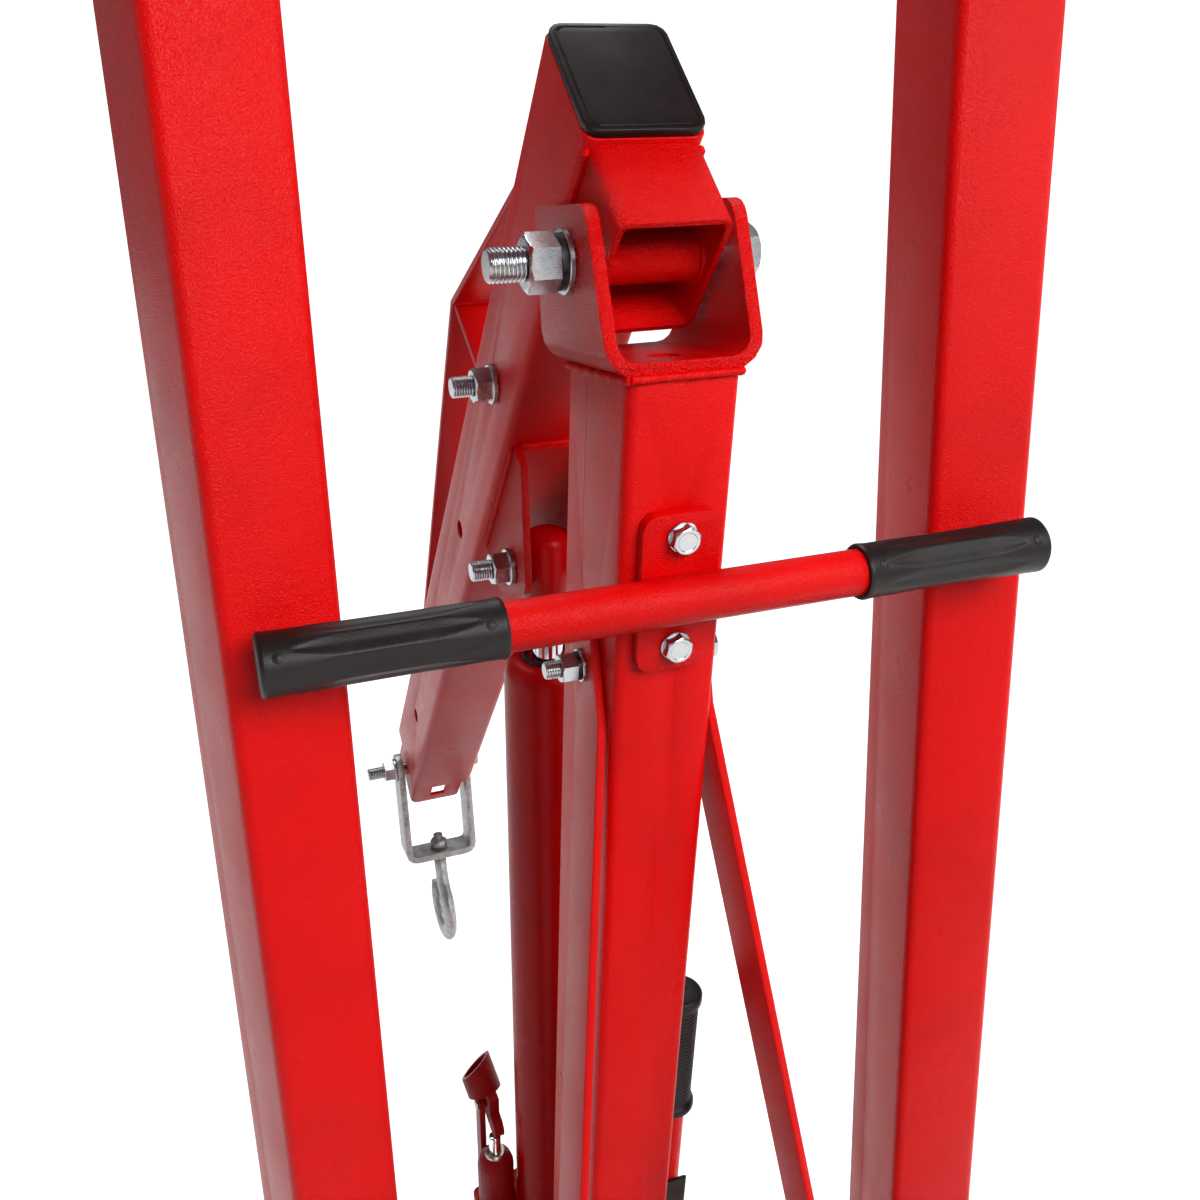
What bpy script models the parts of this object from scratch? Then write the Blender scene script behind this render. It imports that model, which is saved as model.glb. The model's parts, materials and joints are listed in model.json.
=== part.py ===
"""Folding engine hoist crane, standing folded up on its base casters.

Metres, +Z up, +Y towards the boom's tip, +X to the right of a person behind the mast.
The floor is z = 0. Rest is the folded pose: boom down, ram in, legs up.
"""
import math

import bmesh
import bpy
from mathutils import Matrix, Vector

# ---------------------------------------------------------------- driving dimensions
GAP = 0.0003                      # left between pieces that touch
Y_SHIFT = -0.36196                 # puts the middle of the whole object at y = 0

LEAN = math.radians(12.0)         # the mast leans back by this
HANDLE_HEIGHT = 1.21              # height of the mast's rear face at the push handle

MAST_WIDTH = 0.070
MAST_DEPTH = 0.100
MAST_WALL = 0.004
TUBE_CORNER = 0.007

BRACKET_WEB_BOTTOM = 1.3375       # height of the mast's top
BRACKET_PLATE = 0.008
BRACKET_HALF = 0.0485
BRACKET_REAR = -0.027
BRACKET_FRONT = 0.082
BRACKET_TOP = 1.431
PIVOT_Y = 0.029
PIVOT_Z = 1.400

BOOM_DROP = math.radians(45.34)   # boom below the vertical line up from the floor, at rest
BOOM_WIDTH = 0.075
BOOM_HEIGHT = 0.090
BOOM_WALL = 0.004
BOOM_LENGTH = 1.022
PIVOT_FROM_END = 0.052            # pivot, along the boom from its rear end
PIVOT_BELOW = 0.039               # pivot, below the boom's underside
STUB_WIDTH = 0.070
STUB_LENGTH = 0.090
STUB_DEPTH = 0.060
STUB_WALL = 0.004
LOCK_HOLES = (0.267, 0.472, 0.677, 0.882)
LOCK_HOLE_HEIGHT = 0.043

ARM_WIDTH = 0.064
ARM_HEIGHT = 0.078
ARM_WALL = 0.004
ARM_START = 0.2765
ARM_END = 1.086
CLEVIS_BOLT_S = 1.057
CLEVIS_INNER = 0.0385
CLEVIS_STRAP = 0.008
CLEVIS_WIDTH = 0.036
CLEVIS_DROP = 0.130
HOOK_BOWL = 0.036                 # radius of the hook's spine round its bowl
HOOK_DROP = 0.080                 # bowl's centre, below the clevis

RAM_TOP = (0.379, -0.052)         # ram's top pivot on the boom: along it, and from its underside
RAM_BASE = (0.190, -0.905)        # ram's base pivot in the mast's frame: ahead of it, and along it
RESERVOIR_RADIUS = 0.037
RESERVOIR_WALL = 0.003
ROD_RADIUS = 0.0125
HEAD_RADIUS = 0.0205
HEAD_BELOW = 0.055
HEAD_ABOVE = 0.028

LEG_WIDTH = 0.070
LEG_HEIGHT = 0.100
LEG_WALL = 0.003
LEG_LENGTH = 1.550                # pivot to tip
LEG_HEEL = 0.055                  # pivot to the rear end
LEG_PIVOT = (0.2483, 0.100, 0.145)
LEG_SPLAY = math.radians(10.9)
LEG_UP = math.radians(92.2)       # from level to folded up
SIDE_CLEARANCE = 0.0015
PLATE = 0.006
PIN_PLACE = 0.102                 # lock pin's hole ahead of the leg's pivot

BAR = 0.060                       # square base tube
BAR_WALL = 0.004
BAR_TOP = 0.175
REAR_BAR_Y = -0.065
REAR_BAR_HALF = 0.300
FRONT_BAR_Y = 0.270
FRONT_BAR_HALF = 0.260

WHEEL_RADIUS = 0.040
WHEEL_HALF = 0.014
AXLE_RADIUS = 0.006

# ---------------------------------------------------------------- frames
MAST = Matrix.Translation((0, Y_SHIFT, HANDLE_HEIGHT)) @ Matrix.Rotation(LEAN, 4, "X")
WORLD = Matrix.Translation((0, Y_SHIFT, 0))
PIVOT = Vector((0, Y_SHIFT + PIVOT_Y, PIVOT_Z))
BOOM_TURN = Matrix.Rotation(BOOM_DROP - math.pi / 2, 4, "X")
BOOM = Matrix.Translation(PIVOT) @ BOOM_TURN @ Matrix.Translation((0, -PIVOT_FROM_END, PIVOT_BELOW))
RAM_LOW = MAST @ Vector((0, RAM_BASE[0], RAM_BASE[1]))
RAM_HIGH = BOOM @ Vector((0, RAM_TOP[0], RAM_TOP[1]))
RAM_SPAN = (RAM_HIGH - RAM_LOW).length
RAM_LEAN = math.atan2(RAM_LOW.y - RAM_HIGH.y, RAM_HIGH.z - RAM_LOW.z)
RAM = Matrix.Translation(RAM_LOW) @ Matrix.Rotation(RAM_LEAN, 4, "X")
ALONG_X = Matrix.Rotation(math.pi / 2, 4, "Y")
ALONG_Y = Matrix.Rotation(-math.pi / 2, 4, "X")

RED = ("red_paint", (0.60, 0.004, 0.006, 1), 0.30, 0.0)
BLACK = ("black_plastic", (0.018, 0.017, 0.017, 1), 0.45, 0.0)
ZINC = ("zinc_plate", (0.62, 0.63, 0.64, 1), 0.28, 1.0)
CAST = ("red_casting", (0.30, 0.004, 0.010, 1), 0.35, 0.0)
TYRE = ("wheel_polymer", (0.030, 0.030, 0.032, 1), 0.55, 0.0)

parts = None
cutters = None


# ---------------------------------------------------------------- modelling helpers
def start_scene():
    """Empty the scene and make the two collections."""
    global parts, cutters
    for obj in list(bpy.data.objects):
        bpy.data.objects.remove(obj, do_unlink=True)
    parts = bpy.data.collections.new("engine_hoist_crane")
    cutters = bpy.data.collections.new("cutters")
    bpy.context.scene.collection.children.link(parts)
    bpy.context.scene.collection.children.link(cutters)


def finish_material(obj, finish):
    """Give an object its own Principled material."""
    name, colour, roughness, metallic = finish
    material = bpy.data.materials.new(obj.name + "_" + name)
    material.use_nodes = True
    shader = material.node_tree.nodes["Principled BSDF"]
    shader.inputs["Base Color"].default_value = colour
    shader.inputs["Roughness"].default_value = roughness
    shader.inputs["Metallic"].default_value = metallic
    obj.data.materials.clear()
    obj.data.materials.append(material)


def joint(name, frame):
    """An empty on a joint's axis, for the pieces that move with it."""
    empty = bpy.data.objects.new(name, None)
    empty.empty_display_size = 0.05
    empty.matrix_world = frame
    parts.objects.link(empty)
    return empty


def part(obj, frame, finish, on=None):
    """Put a modelled object in its place as a sub-part, under its joint's empty if it moves."""
    obj.matrix_basis = frame
    if on:
        obj.parent = on
        obj.matrix_parent_inverse = on.matrix_basis.inverted()
    parts.objects.link(obj)
    finish_material(obj, finish)
    return obj


def tool(obj, frame):
    """Put a modelled object in its place as the second shape of a Boolean."""
    obj.matrix_world = frame
    cutters.objects.link(obj)
    obj.hide_render = True
    obj.display_type = "WIRE"
    return obj


def boolean(obj, other, operation):
    """Add an exact Boolean to an object."""
    modifier = obj.modifiers.new(operation.lower(), "BOOLEAN")
    modifier.operation = operation
    modifier.object = other
    modifier.solver = "EXACT"


def mesh_object(name, mesh):
    """Wrap a mesh, with its round faces smooth."""
    mesh.shade_smooth()
    mesh.set_sharp_from_angle(angle=math.radians(35))
    return bpy.data.objects.new(name, mesh)


def prism(name, loops, depth):
    """A flat outline with its holes, as a solid of this depth centred on its plane."""
    curve = bpy.data.curves.new(name, "CURVE")
    curve.dimensions = "2D"
    curve.fill_mode = "BOTH"
    curve.extrude = depth / 2
    for loop in loops:
        spline = curve.splines.new("POLY")
        spline.points.add(len(loop) - 1)
        for point, (x, y) in zip(spline.points, loop):
            point.co = (x, y, 0, 1)
        spline.use_cyclic_u = True
    holder = bpy.data.objects.new(name + "_outline", curve)
    bpy.context.scene.collection.objects.link(holder)
    bpy.context.view_layer.update()
    graph = bpy.context.evaluated_depsgraph_get()
    mesh = bpy.data.meshes.new_from_object(holder.evaluated_get(graph))
    bpy.data.objects.remove(holder, do_unlink=True)
    mesh.name = name
    solid = bmesh.new()
    solid.from_mesh(mesh)
    bmesh.ops.remove_doubles(solid, verts=solid.verts, dist=0.00001)
    bmesh.ops.recalc_face_normals(solid, faces=solid.faces)
    solid.to_mesh(mesh)
    solid.free()
    return mesh_object(name, mesh)


def arc(centre, radius, start, end, steps):
    """Points along an arc, in degrees, both ends included."""
    points = []
    for step in range(steps + 1):
        angle = math.radians(start + (end - start) * step / steps)
        points.append((centre[0] + radius * math.cos(angle), centre[1] + radius * math.sin(angle)))
    return points


def circle(radius, steps=16, centre=(0, 0)):
    """A round loop."""
    return arc(centre, radius, 0, 360, steps)[:-1]


def rounded(width, height, radius, centre=(0, 0), steps=3):
    """A rectangle with round corners."""
    x = width / 2 - radius
    y = height / 2 - radius
    loop = []
    for sx, sy, start in ((1, 1, 0), (-1, 1, 90), (-1, -1, 180), (1, -1, 270)):
        corner = (centre[0] + sx * x, centre[1] + sy * y)
        loop += arc(corner, radius, start, start + 90, steps)
    return loop


def square_tube(name, width, height, wall, length, corner=TUBE_CORNER):
    """An open rectangular tube along Z, centred."""
    inner = rounded(width - 2 * wall, height - 2 * wall, corner - wall / 2)
    return prism(name, [rounded(width, height, corner), inner], length)


def bent_strip(name, path, thickness, width):
    """A flat bar that follows a path in XY, of this width along Z."""
    left = []
    right = []
    count = len(path)
    for index, point in enumerate(path):
        here = Vector(point)
        before = (here - Vector(path[index - 1])).normalized() if index else None
        after = (Vector(path[index + 1]) - here).normalized() if index < count - 1 else None
        heading = ((before or after) + (after or before)).normalized()
        normal = Vector((-heading.y, heading.x))
        stretch = 1.0 / max(normal.dot(Vector((-(before or after).y, (before or after).x))), 0.5)
        left.append(tuple(here + normal * thickness / 2 * stretch))
        right.append(tuple(here - normal * thickness / 2 * stretch))
    return prism(name, [left + right[::-1]], width)


def turned(name, profile, steps=24, ring=False):
    """A turned shape about Z from (radius, height) points, top to bottom on the outside."""
    count = len(profile)
    mesh = bpy.data.meshes.new(name)
    edges = [(index, index + 1) for index in range(count - 1)]
    if ring:
        edges.append((count - 1, 0))
    mesh.from_pydata([(radius, 0, height) for radius, height in profile], edges, [])
    obj = bpy.data.objects.new(name, mesh)
    screw = obj.modifiers.new("turn", "SCREW")
    screw.steps = steps
    screw.render_steps = steps
    screw.use_merge_vertices = True
    screw.merge_threshold = 0.00005
    screw.use_smooth_shade = True
    return obj


def rod(name, radius, low, high, steps=16):
    """A plain round bar along Z."""
    return prism_between(name, [circle(radius, steps)], low, high)


def prism_between(name, loops, low, high):
    """A prism along Z from low to high."""
    obj = prism(name, loops, high - low)
    obj.data.transform(Matrix.Translation((0, 0, (low + high) / 2)))
    return obj


def box(name, low, high):
    """A plain block between two corners."""
    mesh = bpy.data.meshes.new(name)
    solid = bmesh.new()
    bmesh.ops.create_cube(solid, size=1.0)
    size = Vector(high) - Vector(low)
    middle = (Vector(high) + Vector(low)) / 2
    bmesh.ops.scale(solid, vec=size, verts=solid.verts)
    bmesh.ops.translate(solid, vec=middle, verts=solid.verts)
    solid.to_mesh(mesh)
    solid.free()
    return bpy.data.objects.new(name, mesh)


def hexagon(across_flats):
    """Twelve points on a hexagon: its corners and the middles of its sides."""
    corner = across_flats / math.sqrt(3)
    points = []
    for step in range(12):
        angle = math.radians(30 * step)
        reach = corner if step % 2 == 0 else across_flats / 2
        points.append((reach * math.cos(angle), reach * math.sin(angle)))
    return points


def lofted(name, sections):
    """A solid through flat sections of twelve points each, given as (height, points)."""
    solid = bmesh.new()
    rings = []
    for height, points in sections:
        rings.append([solid.verts.new((x, y, height)) for x, y in points])
    for lower, upper in zip(rings, rings[1:]):
        for step in range(12):
            following = (step + 1) % 12
            solid.faces.new((lower[step], lower[following], upper[following], upper[step]))
    solid.faces.new(rings[0][::-1])
    solid.faces.new(rings[-1])
    mesh = bpy.data.meshes.new(name)
    bmesh.ops.recalc_face_normals(solid, faces=solid.faces)
    solid.to_mesh(mesh)
    solid.free()
    return mesh_object(name, mesh)


def bolt(name, radius, grip, tail, head_flats, head, nut_flats, nut, washer=0.003, washer_radius=None):
    """A bolt with its washers and nut, along Z: nut end below, head above.

    grip is (low, high), the faces that the washers sit against; tail is the thread past the nut.
    """
    washer_radius = washer_radius or radius * 1.85
    low = grip[0] - GAP
    high = grip[1] + GAP
    shank = circle(radius, 12)
    disc = circle(washer_radius, 12)
    sections = [(low - washer - nut - tail, circle(radius * 0.86, 12))]
    sections.append((low - washer - nut - tail + radius * 0.15, shank))
    sections += [(low - washer - nut, shank), (low - washer - nut, hexagon(nut_flats))]
    sections += [(low - washer, hexagon(nut_flats)), (low - washer, disc), (low, disc), (low, shank)]
    sections += [(high, shank), (high, disc), (high + washer, disc)]
    sections += [(high + washer, hexagon(head_flats)), (high + washer + head, hexagon(head_flats))]
    return lofted(name, sections)


def along_x(y, z):
    """A frame whose Z runs along +X through (y, z)."""
    return Matrix.Translation((0, y, z)) @ ALONG_X


def mirror_frame(side):
    """Mirror across the middle plane for the left side, nothing for the right."""
    return Matrix.Scale(-1, 4, (1, 0, 0)) if side < 0 else Matrix.Identity(4)


# ---------------------------------------------------------------- mast
def build_mast():
    """Leaning square post with its foot plate, cut level at both ends."""
    mast = square_tube("mast", MAST_WIDTH, MAST_DEPTH, MAST_WALL, 1.40)
    mast.data.transform(Matrix.Translation((0, MAST_DEPTH / 2, -0.50)))
    part(mast, MAST, RED)
    above = box("mast_top_cutter", (-0.2, -0.4, BRACKET_WEB_BOTTOM - GAP), (0.2, 0.4, 1.8))
    boolean(mast, tool(above, WORLD), "DIFFERENCE")
    below = box("mast_foot_cutter", (-0.2, 0.0, -0.3), (0.2, 0.6, BAR_TOP + 0.004))
    boolean(mast, tool(below, WORLD), "DIFFERENCE")
    foot = prism_between("mast_foot", [rounded(0.110, 0.130, 0.010)], BAR_TOP + GAP, BAR_TOP + 0.008)
    boolean(mast, tool(foot, WORLD @ Matrix.Translation((0, FRONT_BAR_Y, 0))), "UNION")
    for index, height in enumerate(HANDLE_BOLTS):
        hole = rod("handle_bolt_cutter_%d" % index, 0.0054, -0.02, 0.02, 12)
        boolean(mast, tool(hole, MAST @ Matrix.Translation((0, 0, height)) @ ALONG_Y), "DIFFERENCE")
    hole = rod("brace_bolt_cutter", 0.0066, -0.1, 0.1, 12)
    boolean(mast, tool(hole, MAST @ along_x(*BRACE_TOP)), "DIFFERENCE")
    return mast


HANDLE_BOLTS = (0.034, -0.040)
HANDLE_PLATE = 0.008
HANDLE_RADIUS = 0.0148
HANDLE_Y = -0.0245
HANDLE_HALF = 0.225
GRIP_RADIUS = 0.0182
GRIP_OUTER = 0.250
GRIP_INNER = 0.115
BRACE_TOP = (0.044, -0.0775)


def build_push_handle():
    """Cross tube welded on a plate, its two grips and its two bolts."""
    plate = prism("push_handle", [rounded(0.050, 0.106, 0.010, (0, -0.004))]
                  + [circle(0.0054, 12, (0, height)) for height in HANDLE_BOLTS], HANDLE_PLATE)
    plate.data.transform(Matrix.Rotation(math.pi / 2, 4, "X"))
    part(plate, MAST @ Matrix.Translation((0, -GAP - HANDLE_PLATE / 2, 0)), RED)
    bar = rod("push_handle_bar", HANDLE_RADIUS, -HANDLE_HALF, HANDLE_HALF, 20)
    boolean(plate, tool(bar, MAST @ along_x(HANDLE_Y + 0.0015, 0)), "UNION")
    for side, word in ((-1, "left"), (1, "right")):
        grip = turned("grip_" + word, grip_profile(), 20, ring=False)
        turn = Matrix.Rotation(side * math.pi / 2, 4, "Y")
        part(grip, MAST @ Matrix.Translation((0, HANDLE_Y + 0.0015, 0)) @ turn, BLACK)
    for index, height in enumerate(HANDLE_BOLTS):
        screw = lofted("handle_bolt_" + ("upper", "lower")[index], cap_screw(0.005, 0.017, 0.0064, 0.022))
        outward = Matrix.Rotation(math.pi / 2, 4, "X")
        place = Matrix.Translation((0, -GAP * 2 - HANDLE_PLATE, height))
        part(screw, MAST @ place @ outward, ZINC)


def cap_screw(radius, flats, head, length):
    """Sections of a hex screw whose head stands on z = 0, upwards, with a washer."""
    washer = 0.0018
    shank = circle(radius, 12)
    disc = circle(radius * 2.0, 12)
    return [(-length, shank), (0, shank), (0, disc), (washer, disc), (washer, hexagon(flats)),
            (washer + head, hexagon(flats))]


def grip_profile():
    """Hollow grip from its closed outer end, top, down to its open inner end, and back inside."""
    bore = HANDLE_RADIUS + GAP
    return [(0, GRIP_OUTER), (0.0150, GRIP_OUTER), (0.0178, GRIP_OUTER - 0.003),
            (0.0182, GRIP_OUTER - 0.012), (GRIP_RADIUS, 0.190), (0.0172, GRIP_INNER + 0.012),
            (0.0176, GRIP_INNER), (bore, GRIP_INNER), (bore, HANDLE_HALF + GAP), (0, HANDLE_HALF + GAP)]


def build_top_bracket():
    """Bent plate on the mast's top that holds the boom's pivot."""
    outer = BRACKET_HALF
    inner = BRACKET_HALF - BRACKET_PLATE
    low = BRACKET_WEB_BOTTOM
    bend = 0.020
    outline = [(outer, BRACKET_TOP), (inner, BRACKET_TOP)]
    outline += arc((inner - bend + BRACKET_PLATE, low + bend), bend - BRACKET_PLATE, 0, -90, 4)
    outline += arc((-inner + bend - BRACKET_PLATE, low + bend), bend - BRACKET_PLATE, -90, -180, 4)
    outline += [(-inner, BRACKET_TOP), (-outer, BRACKET_TOP)]
    outline += arc((-outer + bend, low + bend), bend, 180, 270, 4)
    outline += arc((outer - bend, low + bend), bend, 270, 360, 4)
    bracket = prism("mast_top_bracket", [outline], BRACKET_FRONT - BRACKET_REAR)
    bracket.data.transform(Matrix.Rotation(math.pi / 2, 4, "X"))
    middle = (BRACKET_FRONT + BRACKET_REAR) / 2
    part(bracket, WORLD @ Matrix.Translation((0, middle, 0)), RED)
    hole = rod("pivot_hole_cutter", 0.0104, -0.1, 0.1, 16)
    boolean(bracket, tool(hole, WORLD @ along_x(PIVOT_Y, PIVOT_Z)), "DIFFERENCE")
    drain = rod("web_hole_cutter", 0.010, low - 0.02, low + 0.03, 16)
    boolean(bracket, tool(drain, WORLD @ Matrix.Translation((0, 0.005, 0))), "DIFFERENCE")
    # the ears' rear edge slopes forward towards the top, with a round corner
    edge = [(-0.08, 1.35), (BRACKET_REAR, 1.352)]
    edge += arc((0.006, BRACKET_TOP - 0.014), 0.014, 165, 92, 3)
    edge += [(0.006, 1.50), (-0.08, 1.50)]
    slope = prism("bracket_rear_cutter", [edge], 0.2)
    across = Matrix.Rotation(math.pi / 2, 4, "Z") @ Matrix.Rotation(math.pi / 2, 4, "X")
    boolean(bracket, tool(slope, WORLD @ across), "DIFFERENCE")


def build_pivot_bolt():
    """The large bolt through the bracket's ears and the boom's bush."""
    pin = bolt("pivot_bolt", 0.010, (-BRACKET_HALF, BRACKET_HALF), 0.022, 0.030, 0.0125, 0.030, 0.018,
               washer=0.0075, washer_radius=0.0185)
    part(pin, WORLD @ along_x(PIVOT_Y, PIVOT_Z), ZINC)


# ---------------------------------------------------------------- braces
BRACE_WIDTH = 0.045
BRACE_THICK = 0.006
BRACE_FOOT = (0.1545, -0.0608, 0.206)
BRACE_TAB = 0.035


def brace_frame():
    """Frame at the brace's top hole, Z up along the brace as seen from the side."""
    top = MAST @ Vector((0, BRACE_TOP[0], BRACE_TOP[1]))
    foot = WORLD @ Vector((0, BRACE_FOOT[1], BRACE_FOOT[2]))
    turn = math.atan2(foot.y - top.y, top.z - foot.z)
    return Matrix.Translation(top) @ Matrix.Rotation(turn, 4, "X"), (top - foot).length


def build_braces():
    """Two flat bars from the mast's sides down and out to the rear bar, with their bolts."""
    frame, length = brace_frame()
    near = MAST_WIDTH / 2 + GAP + BRACE_THICK / 2
    far = BRACE_FOOT[0]
    lug = far - BRACE_THICK / 2 - GAP
    for side, word in ((-1, "left"), (1, "right")):
        path = [(side * near, 0.028), (side * near, -BRACE_TAB), (side * far, BRACE_TAB - length),
                (side * far, -length - 0.024)]
        bar = bent_strip("brace_" + word, path, BRACE_THICK, BRACE_WIDTH)
        bar.data.transform(Matrix.Rotation(math.pi / 2, 4, "X"))
        part(bar, frame, RED)
        for index, drop in enumerate((0, length)):
            hole = rod("brace_%s_cutter_%d" % (word, index), 0.0066, -0.3, 0.3, 12)
            boolean(bar, tool(hole, frame @ Matrix.Translation((0, 0, -drop)) @ ALONG_X), "DIFFERENCE")
        low = lug - PLATE
        high = far + BRACE_THICK / 2
        foot = bolt("brace_foot_bolt_" + word, 0.006, (low, high), 0.006, 0.018, 0.0075, 0.018, 0.010)
        foot.data.transform(ALONG_X)
        foot.data.transform(mirror_frame(side))
        if side < 0:
            foot.data.flip_normals()
        part(foot, WORLD @ Matrix.Translation((0, BRACE_FOOT[1], BRACE_FOOT[2])), ZINC)
    reach = near + BRACE_THICK / 2
    through = bolt("brace_bolt", 0.006, (-reach, reach), 0.010, 0.018, 0.0075, 0.018, 0.0105, washer=0.005)
    part(through, MAST @ along_x(*BRACE_TOP), ZINC)


# ---------------------------------------------------------------- base
def build_base():
    """Rear bar with its brace lugs, and the front bar with the spine behind it."""
    rear = square_tube("rear_bar", BAR, BAR, BAR_WALL, 2 * REAR_BAR_HALF)
    rear.data.transform(ALONG_X)
    part(rear, WORLD @ Matrix.Translation((0, REAR_BAR_Y, BAR_TOP - BAR / 2)), RED)
    lug_outer = BRACE_FOOT[0] - BRACE_THICK / 2 - GAP
    for side in (-1, 1):
        centre = (0, BRACE_FOOT[2] - BAR_TOP)
        outline = [(-0.024, -0.002)] + [(0.024, -0.002)] + arc(centre, 0.020, 0, 180, 6)
        lug = prism("brace_lug", [outline], PLATE)
        across = Matrix.Rotation(math.pi / 2, 4, "Z") @ Matrix.Rotation(math.pi / 2, 4, "X")
        place = Matrix.Translation((side * (lug_outer - PLATE / 2), BRACE_FOOT[1], BAR_TOP))
        boolean(rear, tool(lug, WORLD @ place @ across), "UNION")
    hole = rod("lug_hole_cutter", 0.0066, -0.3, 0.3, 12)
    boolean(rear, tool(hole, WORLD @ along_x(BRACE_FOOT[1], BRACE_FOOT[2])), "DIFFERENCE")

    front = square_tube("front_bar", BAR, BAR, BAR_WALL, 2 * FRONT_BAR_HALF)
    front.data.transform(ALONG_X)
    part(front, WORLD @ Matrix.Translation((0, FRONT_BAR_Y, BAR_TOP - BAR / 2)), RED)
    start = REAR_BAR_Y + BAR / 2 + GAP
    end = FRONT_BAR_Y - BAR / 2 + 0.001
    spine = square_tube("spine", BAR * 0.99, BAR * 0.99, BAR_WALL, end - start)
    spine.data.transform(ALONG_Y)
    boolean(front, tool(spine, WORLD @ Matrix.Translation((0, (start + end) / 2, BAR_TOP - BAR / 2))), "UNION")
    face = LEG_WIDTH / 2 + SIDE_CLEARANCE + PLATE + GAP
    for side in (-1, 1):
        low, high = sorted((-side * face, side * 0.1))
        beyond = box("bar_end_cutter", (low, 0.05, -0.1), (high, 0.3, 0.1))
        boolean(front, tool(beyond, leg_frame(side)), "DIFFERENCE")


def leg_frame(side):
    """Frame at a leg's pivot with the leg unfolded: Y along the leg, Z up."""
    place = Matrix.Translation((side * LEG_PIVOT[0], LEG_PIVOT[1], LEG_PIVOT[2]))
    return WORLD @ place @ Matrix.Rotation(-side * LEG_SPLAY, 4, "Z")


def build_leg_side(side, word):
    """One side's channel plates, leg, caps, pivot bolt, lock pin and tip caster."""
    frame = leg_frame(side)
    inside = LEG_WIDTH / 2 + SIDE_CLEARANCE
    across = Matrix.Rotation(math.pi / 2, 4, "Z") @ Matrix.Rotation(math.pi / 2, 4, "X")
    rear_face = REAR_BAR_Y + BAR / 2 + GAP - LEG_PIVOT[1]
    for where, sign in (("inner", -1), ("outer", 1)):
        if sign < 0:
            start = (rear_face - inside * math.sin(LEG_SPLAY)) / math.cos(LEG_SPLAY) + 0.0005
        else:
            start = (rear_face + (inside + PLATE) * math.sin(LEG_SPLAY)) / math.cos(LEG_SPLAY) + 0.0005
        outline = [(start, -0.036), (0.205, -0.036), (0.215, -0.026), (0.215, 0.030), (0.190, 0.046),
                   (-0.040, 0.046), (start, 0.020)]
        plate = prism("%s_plate_%s" % (where, word), [outline, circle(0.0083, 16), circle(0.0083, 16, (PIN_PLACE, 0))],
                      PLATE)
        offset = side * sign * (inside + PLATE / 2)
        part(plate, frame @ Matrix.Translation((offset, 0, 0)) @ across, RED)
    folded = frame @ Matrix.Rotation(LEG_UP, 4, "X")
    leg = square_tube("leg_" + word, LEG_WIDTH, LEG_HEIGHT, LEG_WALL, LEG_LENGTH + LEG_HEEL)
    leg.data.transform(Matrix.Translation((0, (LEG_LENGTH - LEG_HEEL) / 2, 0)) @ ALONG_Y)
    part(leg, folded, RED)
    for index, place in enumerate((0, PIN_PLACE)):
        hole = rod("leg_%s_cutter_%d" % (word, index), 0.0086, -0.06, 0.06, 16)
        boolean(leg, tool(hole, folded @ Matrix.Translation((0, place, 0)) @ ALONG_X), "DIFFERENCE")
    reach = inside + PLATE
    pin = bolt("leg_pivot_bolt_" + word, 0.008, (-reach, reach), 0.006, 0.024, 0.010, 0.024, 0.013)
    pin.data.transform(ALONG_X)
    pin.data.transform(mirror_frame(side))
    if side < 0:
        pin.data.flip_normals()
    part(pin, frame, ZINC)
    build_lock_pin(side, word, frame, inside)
    tip = folded @ Matrix.Translation((0, LEG_LENGTH - 0.055, -LEG_HEIGHT / 2))
    build_caster("leg_caster_" + word, tip, LEG_PIVOT[2] - LEG_HEIGHT / 2, trail=0.0)


def build_lock_pin(side, word, frame, inside):
    """Round lock pin with a cross handle, drawn out until its nose is in the outer plate's hole."""
    nose = inside + 0.0005
    length = 0.098
    shank = [(0.0, nose + length), (0.008, nose + length), (0.008, nose + 0.002), (0.0065, nose), (0.0, nose)]
    pin = turned("lock_pin_" + word, shank, 16)
    outward = Matrix.Rotation(side * math.pi / 2, 4, "Y")
    place = frame @ Matrix.Translation((0, PIN_PLACE, 0)) @ outward
    part(pin, place, ZINC)
    handle = rod("lock_pin_handle_" + word, 0.005, -0.032, 0.032, 12)
    boolean(pin, tool(handle, place @ Matrix.Translation((0, 0, nose + length - 0.009)) @ ALONG_Y), "UNION")


# ---------------------------------------------------------------- casters
def build_caster(name, frame, height, trail):
    """A fork and its wheel below a flat face: frame is on that face, Z up, wheel axis along X."""
    inner = WHEEL_HALF + 0.002
    plate = 0.0035
    outer = inner + plate
    top = -0.009
    axle = WHEEL_RADIUS - height
    outline = [(outer, axle - 0.012), (outer, top), (-outer, top), (-outer, axle - 0.012),
               (-inner, axle - 0.012), (-inner, top - plate), (inner, top - plate), (inner, axle - 0.012)]
    fork = prism(name + "_fork", [outline], 0.034)
    fork.data.transform(Matrix.Translation((0, -trail * 0.6, 0)) @ Matrix.Rotation(math.pi / 2, 4, "X"))
    part(fork, frame, ZINC)
    race = rod(name + "_race", 0.024, top - 0.001, -GAP, 20)
    boolean(fork, tool(race, frame), "UNION")
    pin = rod(name + "_axle", AXLE_RADIUS, -outer - 0.003, outer + 0.003, 12)
    boolean(fork, tool(pin, frame @ along_x(-trail, axle)), "UNION")
    bore = AXLE_RADIUS + GAP
    profile = [(bore, WHEEL_HALF + 0.001), (0.013, WHEEL_HALF + 0.001), (0.015, WHEEL_HALF - 0.004),
               (0.028, WHEEL_HALF - 0.004), (0.030, WHEEL_HALF), (0.036, WHEEL_HALF),
               (WHEEL_RADIUS, WHEEL_HALF - 0.004)]
    profile += [(radius, -height) for radius, height in profile[::-1]]
    wheel = turned(name + "_wheel", profile, 20, ring=True)
    part(wheel, frame @ along_x(-trail, axle), TYRE)


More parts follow.
